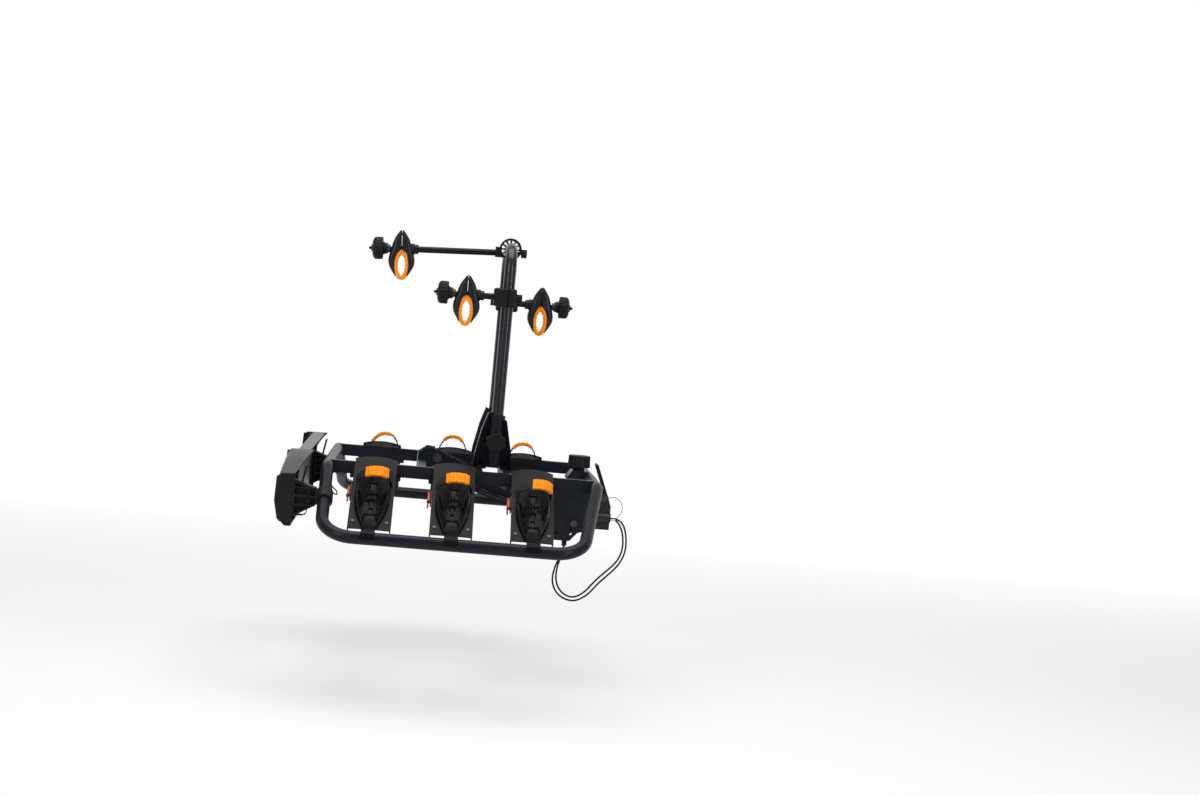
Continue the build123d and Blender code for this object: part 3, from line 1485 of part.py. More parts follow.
def strap_pad(plane, slip=0.0):
    """The soft sleeve over the crown of one strap, slipped round it by an angle."""
    inner = strap_half - strap_wall / 2 - strap_gap
    outer = strap_half + strap_wall / 2 + strap_gap
    reach = 2 * strap_half
    start = radians(slip - pad_sweep / 2)
    end = radians(slip + pad_sweep / 2)
    with BuildPart() as pad:
        with BuildSketch(plane):
            with Locations((0, strap_leg)):
                Circle(outer + pad_wall)
                Circle(inner - pad_wall, mode=Mode.SUBTRACT)
            with BuildLine():
                Polyline(
                    (0, strap_leg),
                    (reach * sin(start), strap_leg + reach * cos(start)),
                    (reach * sin(end), strap_leg + reach * cos(end)),
                    close=True,
                )
            make_face(mode=Mode.INTERSECT)
        extrude(amount=pad_half_width, both=True)
        with BuildSketch(plane):
            with Locations((0, strap_leg)):
                Circle(outer)
                Circle(inner, mode=Mode.SUBTRACT)
        extrude(amount=strap_width / 2 + strap_gap, both=True, mode=Mode.SUBTRACT)
    return pad.part


# Buckle on the tray's left edge: a plate with two ears, a pin, and a lever on it
buckle_plane = tray_plane(buckle_share)
plate_x = -tray_width / 2 - strap_gap
pin_x = plate_x - buckle_wall - strap_gap - lever_knuckle
pin_y = -buckle_drop - lever_knuckle
with BuildPart() as buckle:
    with BuildSketch(buckle_plane):
        with Locations((plate_x - buckle_wall / 2, -buckle_drop - buckle_height / 2 + lever_knuckle)):
            Rectangle(buckle_wall, buckle_height)
    extrude(amount=buckle_length / 2, both=True)
    with BuildSketch(buckle_plane):
        with Locations((pin_x, pin_y)):
            Circle(lever_knuckle)
        with Locations(((pin_x + plate_x) / 2, pin_y)):
            Rectangle(plate_x - pin_x, 2 * lever_knuckle)
    extrude(amount=buckle_length / 2, both=True)
    with BuildSketch(buckle_plane):
        with Locations((pin_x, pin_y)):
            Rectangle(2 * (plate_x - buckle_wall - pin_x), 4 * lever_knuckle)
    extrude(amount=lever_length / 2 + strap_gap, both=True, mode=Mode.SUBTRACT)
    with BuildSketch(buckle_plane):
        with Locations((pin_x, pin_y)):
            Circle(lever_pin / 2)
    extrude(amount=buckle_length / 2, both=True)
with BuildPart() as buckle_lever:
    with BuildSketch(buckle_plane):
        with Locations((pin_x, pin_y)):
            Circle(lever_knuckle)
        with Locations((pin_x - lever_knuckle + lever_wall / 2, pin_y - lever_height / 2)):
            Rectangle(lever_wall, lever_height)
    extrude(amount=lever_length / 2, both=True)
    with BuildSketch(buckle_plane):
        with Locations((pin_x, pin_y)):
            Circle(lever_pin / 2 + pin_gap)
    extrude(amount=lever_length, both=True, mode=Mode.SUBTRACT)

arches = [strap_arch(strap_planes["far"]), mirror(strap_arch(strap_planes["near"]), about=Plane.XZ)]
far_pad = strap_pad(strap_planes["far"])
near_pad = mirror(strap_pad(strap_planes["near"]), about=Plane.XZ)
slipped_pad = mirror(strap_pad(strap_planes["near"], slipped_pad_turn), about=Plane.XZ)
buckle_copies = both_sides_everywhere(buckle.part)
side_levers = {"far": buckle_lever.part, "near": mirror(buckle_lever.part, about=Plane.XZ)}
with BuildPart() as wheel_straps:
    add([Pos(x, 0, 0) * arch for x in tray_xs for arch in arches])
    add(buckle_copies)
save(wheel_straps, "wheel_straps")
with BuildPart() as strap_pads:
    add([Pos(x, 0, 0) * far_pad for x in tray_xs])
    add([Pos(x, 0, 0) * near_pad for x in tray_xs[:-1]])
    add(Pos(tray_xs[-1], 0, 0) * slipped_pad)
save(strap_pads, "strap_pads")
for i, x in enumerate(tray_xs):
    for side, lever_solid in side_levers.items():
        with BuildPart() as placed_lever:
            add(Pos(x, 0, 0) * lever_solid)
        save(placed_lever, f"buckle_lever_{side}_{i + 1}")

# Clamp bars under the rails with their bolts
bar_top = ball_to_deck - rail_height - weld_gap
bar_y = tray_top_y + clamp_bar_shift
bolt_y = rail_y + rail_width / 2 + clamp_bolt_dia / 2 + weld_gap
with BuildPart() as tray_clamps:
    for x in tray_xs:
        for side in (1, -1):
            with BuildSketch(Plane.XY.offset(bar_top)):
                with Locations((x, side * bar_y)):
                    RectangleRounded(clamp_bar_length, clamp_bar_width, clamp_bolt_dia / 2)
            extrude(amount=-clamp_bar_height)
            for shift in (-clamp_bolt_spacing / 2, clamp_bolt_spacing / 2):
                with BuildSketch(Plane.XY.offset(bar_top)):
                    with Locations((x + shift, side * bolt_y)):
                        Circle(clamp_bolt_dia / 2)
                extrude(amount=rail_height - clamp_bolt_drop)
                with BuildSketch(Plane.XY.offset(bar_top - clamp_bar_height)):
                    with Locations((x + shift, side * bolt_y)):
                        RegularPolygon(clamp_bolt_head_dia / 2, 6)
                extrude(amount=-clamp_bolt_head)
save(tray_clamps, "tray_clamps")

# Lamp board: a long moulding, open in front below its upper face, with ribs inside
deck = ball_to_deck
skin = [
    (mid_x - lamp_top_x, deck + lamp_top_rise),
    (mid_x - lamp_upper_x, deck - lamp_upper_drop),
    (mid_x - lamp_belly_x, deck - lamp_belly_drop),
    (mid_x - lamp_low_x, deck - lamp_low_drop),
    (mid_x - lamp_heel_x, deck - lamp_heel_drop),
]
with BuildPart() as lamp_housing:
    with BuildSketch(side_plane()) as lamp_outline:
        with BuildLine():
            Polyline(
                *skin,
                (mid_x - lamp_toe_x, deck - lamp_heel_drop),
                (mid_x - lamp_lip_x, deck + lamp_lip_rise),
                (mid_x - lamp_top_x - lamp_wall, deck + lamp_lip_rise),
                close=True,
            )
        make_face()
    extrude(amount=lamp_half, both=True)
    with BuildSketch(side_plane()):
        with BuildLine():
            Polyline(
                (mid_x - lamp_top_x + lamp_wall, deck + lamp_top_rise),
                (mid_x - lamp_upper_x + lamp_wall, deck - lamp_upper_drop),
                (mid_x - lamp_belly_x + lamp_wall, deck - lamp_belly_drop),
                (mid_x - lamp_low_x + lamp_wall, deck - lamp_low_drop),
                (mid_x - lamp_heel_x + lamp_wall / 2, deck - lamp_heel_drop + lamp_wall),
                (mid_x - lamp_toe_x + overrun, deck - lamp_heel_drop + lamp_wall),
                (mid_x - lamp_toe_x + overrun, deck - lamp_face_drop),
                (mid_x - lamp_lip_x - lamp_wall, deck - lamp_face_drop),
                (mid_x - lamp_lip_x - lamp_wall, deck + lamp_top_rise),
                close=True,
            )
        make_face()
    extrude(amount=lamp_half - lamp_wall, both=True, mode=Mode.SUBTRACT)
    for i in range(lamp_rib_count):
        rib_y = lamp_half * (2 * (i + 1) / (lamp_rib_count + 1) - 1)
        with BuildSketch(side_plane(rib_y)):
            add(lamp_outline.sketch.moved(Location()).faces()[0])
        extrude(amount=lamp_rib_wall / 2, both=True)
    # Notches at both ends of the top edge
    for side in (1, -1):
        with BuildSketch(end_plane(mid_x - lamp_belly_x - overrun)):
            with Locations((side * (lamp_half - notch_length / 2 - lamp_wall), deck + lamp_lip_rise)):
                Rectangle(notch_length, 2 * notch_depth)
        extrude(amount=lamp_belly_x - lamp_lip_x, mode=Mode.SUBTRACT)
save(lamp_housing, "lamp_housing")

# Rear lenses on the lamp board's skin
with BuildPart() as lamp_lenses:
    with BuildSketch(side_plane()):
        with BuildLine():
            Polyline(
                (mid_x - lamp_upper_x, deck - lamp_upper_drop),
                (mid_x - lamp_upper_x - lens_depth, deck - lamp_upper_drop - lens_depth),
                (mid_x - lamp_belly_x - lens_depth, deck - lamp_belly_drop),
                (mid_x - lamp_low_x - lens_depth, deck - lamp_low_drop + lens_depth),
                (mid_x - lamp_low_x, deck - lamp_low_drop),
                (mid_x - lamp_belly_x, deck - lamp_belly_drop),
                close=True,
            )
        make_face()
    extrude(amount=lamp_half - lens_rim, both=True)
    with BuildSketch(side_plane()):
        with Locations((mid_x - lamp_belly_x, deck - lamp_belly_drop)):
            Rectangle(lamp_bracket_low, 2 * lamp_bracket_low)
    extrude(amount=lamp_half - lens_rim - lens_length, both=True, mode=Mode.SUBTRACT)
save(lamp_lenses, "lamp_lenses")

# Ribbed brackets that clip the lamp board to the rear legs of the loop
leg_start = Vector(loop_rear_x, loop_straight, cross_z)
leg_end = Vector(loop_rear_x + hoop_rear_inset, hoop_reach, hoop_z)
leg_share = (lamp_bracket_y - loop_straight) / (hoop_reach - loop_straight)
leg_point = leg_start + (leg_end - leg_start) * leg_share
leg_plane = Plane(origin=leg_point, z_dir=leg_end - leg_start)
with BuildPart() as lamp_bracket:
    front_x = mid_x - lamp_toe_x + weld_gap
    clip_radius = loop_tube / 2 + lamp_clip_gap + lamp_clip_wall
    with BuildSketch(side_plane(lamp_bracket_y)):
        with BuildLine():
            Polyline(
                (front_x, deck - lamp_face_drop - lamp_bracket_top),
                (leg_point.X - clip_radius, leg_point.Z + clip_radius),
                (leg_point.X, leg_point.Z),
                (leg_point.X - clip_radius, leg_point.Z - clip_radius),
                (front_x, deck - lamp_bracket_low),
                close=True,
            )
        make_face()
    extrude(amount=lamp_bracket_width / 2, both=True)
    for side in (1, -1):
        with BuildSketch(side_plane(lamp_bracket_y + side * lamp_bracket_width / 2)):
            pocket_x = front_x + lamp_bracket_wall
            pocket_top = deck - lamp_face_drop - lamp_bracket_top - 2 * lamp_bracket_wall
            with BuildLine():
                Polyline(
                    (pocket_x, pocket_top),
                    (leg_point.X - clip_radius, leg_point.Z + clip_radius - lamp_bracket_wall),
                    (leg_point.X - clip_radius, leg_point.Z - clip_radius + lamp_bracket_wall),
                    (pocket_x, deck - lamp_bracket_low + 2 * lamp_bracket_wall),
                    close=True,
                )
            make_face()
        extrude(amount=side * (lamp_bracket_width / 2 - lamp_bracket_wall), mode=Mode.SUBTRACT)
    # Ribs across both pockets
    rib_x = (front_x + leg_point.X - clip_radius) / 2
    with BuildSketch(side_plane(lamp_bracket_y)):
        for i in range(lamp_bracket_ribs):
            z = leg_point.Z + (i - (lamp_bracket_ribs - 1) / 2) * clip_radius
            with Locations((rib_x, z)):
                Rectangle(leg_point.X - clip_radius - front_x, lamp_bracket_wall)
    extrude(amount=lamp_bracket_width / 2, both=True)
    with BuildSketch(leg_plane):
        Circle(clip_radius)
    extrude(amount=lamp_bracket_width / 2, both=True)
    with BuildSketch(leg_plane):
        Circle(loop_tube / 2 + lamp_clip_gap)
    extrude(amount=2 * lamp_bracket_width, both=True, mode=Mode.SUBTRACT)
bracket_twin = mirror(lamp_bracket.part, about=Plane.XZ)
with BuildPart() as lamp_brackets:
    add(lamp_bracket.part)
    add(bracket_twin)
save(lamp_brackets, "lamp_brackets")

# Parking holder for the plug on the far plate, and the cables' gland under the floor
holder_mouth_x = plug_rear_x - plug_length + holder_depth
holder_radius = plug_dia / 2 + slide_gap
holder_base_y = bracket_half + weld_gap
with BuildPart() as plug_holder:
    with BuildSketch(end_plane(holder_mouth_x)):
        with Locations((plug_y, plug_z)):
            Circle(holder_radius + holder_wall)
        with Locations(((holder_base_y + plug_y) / 2, plug_z)):
            Rectangle(plug_y - holder_base_y, holder_radius)
    extrude(amount=-holder_depth - holder_wall)
    with BuildSketch(side_plane(holder_base_y)):
        with Locations((holder_mouth_x - holder_depth / 2, plug_z)):
            RectangleRounded(holder_depth, holder_flange, holder_flange_wall)
    extrude(amount=-holder_flange_wall)
    with BuildSketch(end_plane(holder_mouth_x)):
        with Locations((plug_y, plug_z)):
            Circle(holder_radius)
    extrude(amount=-holder_depth, mode=Mode.SUBTRACT)
    with BuildSketch(Plane.XY.offset(-bracket_bottom - weld_gap)):
        with Locations((gland_x, gland_y)):
            RectangleRounded(gland_length, gland_width, gland_length / 4)
    extrude(amount=-gland_depth)
save(plug_holder, "plug_holder")

# Plug: a ribbed body in the holder and a boot where the cables enter
with BuildPart() as connector_plug:
    with BuildSketch(end_plane(plug_rear_x)):
        with Locations((plug_y, plug_z)):
            Circle(plug_dia / 2)
    extrude(amount=-plug_length + slide_gap)
    with BuildSketch(end_plane(plug_rear_x)):
        with Locations((plug_y, plug_z)):
            Ellipse(plug_rear_dia / 2, plug_rear_dia / 3)
    extrude(amount=plug_rear)
    with BuildSketch(end_plane(plug_rear_x)):
        with Locations((plug_y, plug_z)):
            with PolarLocations(plug_dia / 2, plug_ribs):
                Circle(plug_rib_wall / 2)
    extrude(amount=holder_depth + slide_gap - plug_length)
save(connector_plug, "connector_plug")


def cord_tube(name, points, dia):
    """A cord's round tube: straight runs joined by arcs as large as the runs allow."""
    corners = [Vector(*p) for p in points]
    radii = []
    for before, here, after in zip(corners, corners[1:], corners[2:]):
        turn = (here - before).get_angle(after - here)
        shorter = min((here - before).length, (after - here).length)
        radii.append(0.45 * shorter / tan(radians(turn) / 2))
    with BuildPart() as tube:
        with BuildLine() as route:
            FilletPolyline(*corners, radius=radii)
        with BuildSketch(Plane(origin=route.line @ 0, z_dir=route.line % 0)):
            Circle(dia / 2)
        sweep()
    length = sum(edge.length for edge in route.edges())
    expected = pi * dia**2 / 4 * length
    print(name, "radii", [round(r, 1) for r in radii], "volume ratio", round(tube.part.volume / expected, 4))
    return tube


# Each route runs from the gland, under the coupling and up to the plug
gland_low = -bracket_bottom - weld_gap - gland_depth
cable_inner = [
    (gland_x, gland_y - cable_pitch / 2, gland_low),
    (gland_x, gland_y - cable_pitch / 2, -85),
    (-92, -30, -113),
    (-95, -31, -155),
    (-77, -30, -187),
    (-44, -28, -199),
    (-14, -23, -180),
    (9, -14, -151),
    (36, -1, -127),
    (63, 16, -104),
    (79, 38, -75),
    (80, 57, -42),
    (71, 66, -12),
    (51, plug_y - cable_pitch / 2, plug_z),
    (plug_rear_x + plug_rear, plug_y - cable_pitch / 2, plug_z),
]
cable_outer = [
    (gland_x, gland_y + cable_pitch / 2, gland_low),
    (gland_x, gland_y + cable_pitch / 2, -86),
    (-98, -22, -117),
    (-104, -26, -163),
    (-82, -26, -197),
    (-42, -24, -209),
    (-7, -19, -189),
    (18, -9, -158),
    (45, 4, -134),
    (71, 22, -110),
    (88, 44, -78),
    (89, 65, -40),
    (79, 75, -7),
    (56, plug_y + cable_pitch / 2, plug_z),
    (plug_rear_x + plug_rear, plug_y + cable_pitch / 2, plug_z),
]
save(cord_tube("lighting_cable_inner", cable_inner, cable_dia), "lighting_cable_inner")
save(cord_tube("lighting_cable_outer", cable_outer, cable_dia), "lighting_cable_outer")

# Lanyard from the near cheek's ear to the lock boss
lanyard = [
    (lever_pin_x + ear_radius + slide_gap, lock_y + lanyard_eye, lever_pin_z),
    (lever_pin_x + 2 * ear_radius, lock_y + lanyard_eye, lever_pin_z),
    (47, -33, 59),
    (55, -36, 47),
    (57, -42, 31),
    (45, lock_y - lock_boss_dia / 2 + lanyard_dia, lock_z),
    (lock_boss_reach, lock_y - lock_boss_dia / 2 + lanyard_dia, lock_z),
]
save(cord_tube("lanyard", lanyard, lanyard_dia), "lanyard")
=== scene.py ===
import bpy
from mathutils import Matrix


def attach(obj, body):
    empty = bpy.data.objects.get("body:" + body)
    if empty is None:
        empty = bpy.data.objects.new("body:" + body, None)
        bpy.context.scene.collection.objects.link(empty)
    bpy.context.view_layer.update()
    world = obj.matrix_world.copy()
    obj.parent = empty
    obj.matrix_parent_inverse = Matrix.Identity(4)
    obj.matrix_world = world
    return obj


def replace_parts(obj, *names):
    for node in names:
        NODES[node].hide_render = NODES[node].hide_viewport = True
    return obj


bl_info = {
    "name": "Tow-ball bicycle rack",
    "version": (1, 0, 0),
    "blender": (4, 5, 0),
    "location": "View3D > Sidebar > Rack",
    "description": "Dresses a tilting bicycle rack with its finishes, cables, fittings and studio",
    "category": "Object",
}

from math import copysign, cos, pi, radians, sin

import bmesh
import bpy
from mathutils import Matrix, Vector

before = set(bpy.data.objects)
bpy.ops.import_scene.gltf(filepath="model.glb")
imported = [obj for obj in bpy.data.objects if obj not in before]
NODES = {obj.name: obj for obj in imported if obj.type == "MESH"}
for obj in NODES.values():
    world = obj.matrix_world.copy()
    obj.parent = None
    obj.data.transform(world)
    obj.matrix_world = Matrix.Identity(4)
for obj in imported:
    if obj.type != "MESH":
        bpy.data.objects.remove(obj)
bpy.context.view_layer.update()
SIDES = ("near", "far")
CLAWS = ("top", "near", "far")


# Settings


def tint(name, description, default):
    return bpy.props.FloatVectorProperty(
        name=name, description=description, default=default, size=3, min=0, max=1, subtype="COLOR"
    )


class RackFinishes(bpy.types.PropertyGroup):
    """Colours and surface of the rack's own finishes."""

    frame_paint: tint("Frame paint", "Powder coat on the tubes and rails", (0.007, 0.009, 0.013))
    tray_paint: tint("Tray paint", "Powder coat on the wheel trays", (0.011, 0.0105, 0.0105))
    casting_paint: tint("Casting paint", "Coat on the coupling housing", (0.008, 0.009, 0.010))
    knob_plastic: tint("Knob plastic", "Moulded knobs and clamps", (0.010, 0.0105, 0.012))
    claw_plastic: tint("Claw plastic", "Moulded frame claws", (0.008, 0.009, 0.012))
    cradle_plastic: tint("Cradle plastic", "Glossy wheel cradles", (0.006, 0.006, 0.007))
    lamp_shell: tint("Lamp board shell", "Top shell of the lamp board", (0.030, 0.031, 0.034))
    strap_rubber: tint("Strap rubber", "Toothed wheel straps", (0.014, 0.014, 0.015))
    pad_rubber: tint("Pad rubber", "Orange strap pads and claw liners", (0.95, 0.27, 0.006))
    lever_plastic: tint("Buckle levers", "Red buckle levers", (0.62, 0.075, 0.022))
    cable_jacket: tint("Cable jacket", "Lighting cables", (0.007, 0.007, 0.008))
    black_zinc: tint("Black zinc", "Bolts, pins and washers", (0.060, 0.060, 0.062))
    steel: tint("Bright steel", "Key barrel and wire", (0.62, 0.62, 0.63))
    lens_red: tint("Red lens", "Rear lamp lenses", (0.42, 0.012, 0.012))
    grain_depth: bpy.props.FloatProperty(
        name="Grain depth", description="Height of the powder coat's orange peel",
        default=0.00006, min=0, max=0.001, subtype="DISTANCE"
    )
    wear: bpy.props.FloatProperty(
        name="Edge wear", description="How much paint is rubbed thin along edges",
        default=0.35, min=0, max=1, subtype="FACTOR"
    )
    # Dust on upward faces, which on the lamp board shell also stands for painted top light
    dust_and_top_light: bpy.props.FloatProperty(
        name="Dust and top light", description="How much dust lies on upward faces",
        default=0.12, min=0, max=1, subtype="FACTOR"
    )


class RackStudio(bpy.types.PropertyGroup):
    """Camera, lamps and floor."""

    floor_height: bpy.props.FloatProperty(
        name="Floor height", description="Height of the floor from the tow ball", default=-0.42, subtype="DISTANCE"
    )
    lens: bpy.props.FloatProperty(
        name="Lens", description="Focal length of the camera", default=58.57, min=10, max=200, unit="CAMERA"
    )
    floor: tint("Floor", "Pale floor", (0.86, 0.86, 0.87))
    lamp_level: bpy.props.FloatProperty(
        name="Lamp level", description="Power of the soft lamps as a share of the plain level",
        default=1.0, min=0, max=4
    )


# Shader groups


def add_group(name, inputs, outputs, build):
    """A shader node group with named sockets, built once."""
    group = bpy.data.node_groups.get(name)
    if group:
        return group
    group = bpy.data.node_groups.new(name, "ShaderNodeTree")
    for label, kind, default in inputs:
        socket = group.interface.new_socket(name=label, in_out="INPUT", socket_type=kind)
        if default is not None:
            socket.default_value = default
    for label, kind in outputs:
        group.interface.new_socket(name=label, in_out="OUTPUT", socket_type=kind)
    start = group.nodes.new("NodeGroupInput")
    end = group.nodes.new("NodeGroupOutput")
    build(Wires(group), start.outputs, end.inputs)
    return group


class Wires:
    """Short ways to place and join nodes in a tree."""

    def __init__(self, tree):
        self.tree = tree

    def put(self, kind, settings=None, **inputs):
        """A new node; inputs are named as on the node, or in0, in1 and so on by number."""
        node = self.tree.nodes.new(kind)
        for key, value in (settings or {}).items():
            setattr(node, key, value)
        for key, value in inputs.items():
            socket = node.inputs[int(key[2:]) if key.startswith("in") else key]
            if isinstance(value, bpy.types.NodeSocket):
                self.tree.links.new(value, socket)
            else:
                socket.default_value = value
        return node

    def link(self, out, into):
        self.tree.links.new(out, into)

    def math(self, operation, a, b=0.0, clamp=False):
        return self.put("ShaderNodeMath", {"operation": operation, "use_clamp": clamp}, in0=a, in1=b).outputs[0]

    def ramp(self, value, low, high):
        node = self.put("ShaderNodeMapRange", None, Value=value)
        node.inputs["From Min"].default_value = low
        node.inputs["From Max"].default_value = high
        return node.outputs[0]

    def place(self, scale=None):
        out = self.put("ShaderNodeTexCoord").outputs["Object"]
        if scale:
            out = self.put("ShaderNodeMapping", None, Vector=out, Scale=scale).outputs[0]
        return out

    def noise(self, vector, scale, detail=3.0):
        return self.put("ShaderNodeTexNoise", None, Vector=vector, Scale=scale, Detail=detail).outputs[0]

    def mix(self, factor, a, b, blend="MIX"):
        node = self.tree.nodes.new("ShaderNodeMix")
        node.data_type = "RGBA"
        node.blend_type = blend
        for socket, value in ((node.inputs[0], factor), (node.inputs[6], a), (node.inputs[7], b)):
            if isinstance(value, bpy.types.NodeSocket):
                self.tree.links.new(value, socket)
            else:
                socket.default_value = value
        return node.outputs[2]


def build_grain(w, given, out):
    """Orange peel of powder coat, or the fine grain of a mould: a height and a mottle."""
    spot = w.place()
    fine = w.noise(spot, given["Scale"], 2.0)
    broad = w.noise(spot, w.math("MULTIPLY", given["Scale"], 0.04), 4.0)
    w.link(fine, out["Height"])
    w.link(w.ramp(broad, 0.3, 0.7), out["Mottle"])


def build_wear(w, given, out):
    """Rounded-off light along convex edges, broken up by noise."""
    flat = w.put("ShaderNodeNewGeometry").outputs["Normal"]
    bent = w.put("ShaderNodeBevel", {"samples": 4}, Radius=given["Width"]).outputs[0]
    turn = w.put("ShaderNodeVectorMath", {"operation": "DOT_PRODUCT"}, in0=flat, in1=bent).outputs["Value"]
    edge = w.ramp(turn, 0.995, 0.86)
    broken = w.ramp(w.noise(w.place(), 90.0, 5.0), 0.38, 0.62)
    w.link(w.math("MULTIPLY", w.math("MULTIPLY", edge, broken), given["Amount"], clamp=True), out["Mask"])


def build_dust_and_top_light(w, given, out):
    """Thin dust on faces that look up, which also paints top light: upward faces turn paler."""
    parts = w.put("ShaderNodeSeparateXYZ", None, in0=w.put("ShaderNodeNewGeometry").outputs["Normal"])
    up = w.ramp(parts.outputs[2], 0.35, 1.0)
    patch = w.ramp(w.noise(w.place(), 28.0, 6.0), 0.35, 0.8)
    w.link(w.math("MULTIPLY", w.math("MULTIPLY", up, patch), given["Amount"], clamp=True), out["Mask"])


def build_scuffs(w, given, out):
    """Long fine scratches in a few directions."""
    spot = w.place((9.0, 60.0, 40.0))
    lines = w.noise(spot, 6.0, 8.0)
    thin = w.ramp(w.math("ABSOLUTE", w.math("SUBTRACT", lines, 0.5)), 0.012, 0.0)
    where = w.ramp(w.noise(w.place(), 7.0, 2.0), 0.5, 0.7)
    w.link(w.math("MULTIPLY", w.math("MULTIPLY", thin, where), given["Amount"], clamp=True), out["Mask"])


def shared_groups():
    """The groups that every finish uses."""
    number = "NodeSocketFloat"
    mask = [("Mask", number)]
    return {
        "grain": add_group(
            "Surface grain", [("Scale", number, 900.0)], [("Height", number), ("Mottle", number)], build_grain,
        ),
        "wear": add_group("Edge wear", [("Width", number, 0.0015), ("Amount", number, 0.5)], mask, build_wear),
        "dust_and_top_light": add_group("Settled dust", [("Amount", number, 0.2)], mask, build_dust_and_top_light),
        "scuffs": add_group("Fine scratches", [("Amount", number, 0.4)], mask, build_scuffs),
    }


WEAR_WIDTH = 0.0012
WORN_LIGHT = 2.6
SCRATCH_LIGHT = 1.8
# Paler colour mixed into upward faces: settled dust, and painted top light on the lamp board shell
DUST_AND_TOP_LIGHT_COLOR = (0.30, 0.29, 0.27, 1.0)


def shade(color, factor):
    """A colour made lighter or darker, as a socket takes it."""
    return tuple(min(1.0, c * factor) for c in color[:3]) + (1.0,)


def finish_material(
    name, color, rough, grain, depth, wear, dust_and_top_light, scuffs,
    mottle=0.12, metal=0.0, coat=0.0, coat_rough=0.1, specular=0.3, ribs=None,
):
    """A finish with grain, mottle, worn edges, scratches, and dust with painted top light on upward faces; ribs gives
    (pitch, direction, depth).
    """
    found = bpy.data.materials.get(name)
    if found:
        return found
    groups = shared_groups()
    material = bpy.data.materials.new(name)
    material.use_nodes = True
    tree = material.node_tree
    w = Wires(tree)
    shader = tree.nodes["Principled BSDF"]
    shader.inputs["Metallic"].default_value = metal
    shader.inputs["Coat Weight"].default_value = coat
    shader.inputs["Coat Roughness"].default_value = coat_rough
    shader.inputs["Specular IOR Level"].default_value = specular

    surface = w.put("ShaderNodeGroup", {"node_tree": groups["grain"]}, Scale=grain)
    base = w.mix(surface.outputs["Mottle"], shade(color, 1 - mottle), shade(color, 1 + mottle))
    roughness = w.ramp(surface.outputs["Mottle"], 0.0, 1.0)
    roughness.node.inputs["To Min"].default_value = max(0.02, rough - 0.05)
    roughness.node.inputs["To Max"].default_value = min(1.0, rough + 0.05)
    if scuffs:
        mask = w.put("ShaderNodeGroup", {"node_tree": groups["scuffs"]}, Amount=scuffs).outputs["Mask"]
        base = w.mix(mask, base, shade(color, SCRATCH_LIGHT))
    if wear:
        mask = w.put("ShaderNodeGroup", {"node_tree": groups["wear"]}, Amount=wear, Width=WEAR_WIDTH).outputs["Mask"]
        base = w.mix(mask, base, shade(color, WORN_LIGHT))
        roughness = w.math("SUBTRACT", roughness, w.math("MULTIPLY", mask, 0.12), clamp=True)
    # Upward faces mixed towards a paler colour: dust, and painted top light
    if dust_and_top_light:
        mask = w.put("ShaderNodeGroup", {"node_tree": groups["dust_and_top_light"]}, Amount=dust_and_top_light).outputs["Mask"]
        base = w.mix(mask, base, DUST_AND_TOP_LIGHT_COLOR)
        roughness = w.math("ADD", roughness, w.math("MULTIPLY", mask, 0.3), clamp=True)
    w.link(base, shader.inputs["Base Color"])
    w.link(roughness, shader.inputs["Roughness"])
    height, distance = surface.outputs["Height"], depth
    if ribs:
        pitch, direction, distance = ribs
        wave = w.put("ShaderNodeTexWave", {"bands_direction": direction}, Vector=w.place(), Scale=pitch).outputs["Fac"]
        height = w.math("ADD", w.math("MULTIPLY", height, depth / distance), w.ramp(wave, 0.25, 0.75))
    bump = w.put("ShaderNodeBump", None, Height=height, Strength=1.0, Distance=distance)
    w.link(bump.outputs["Normal"], shader.inputs["Normal"])
    return material


def coat_nodes(material, names):
    """Gives CAD pieces a finish."""
    for name in names:
        slots = NODES[name].data.materials
        if len(slots) == 0:
            slots.append(material)
        for i in range(len(slots)):
            slots[i] = material


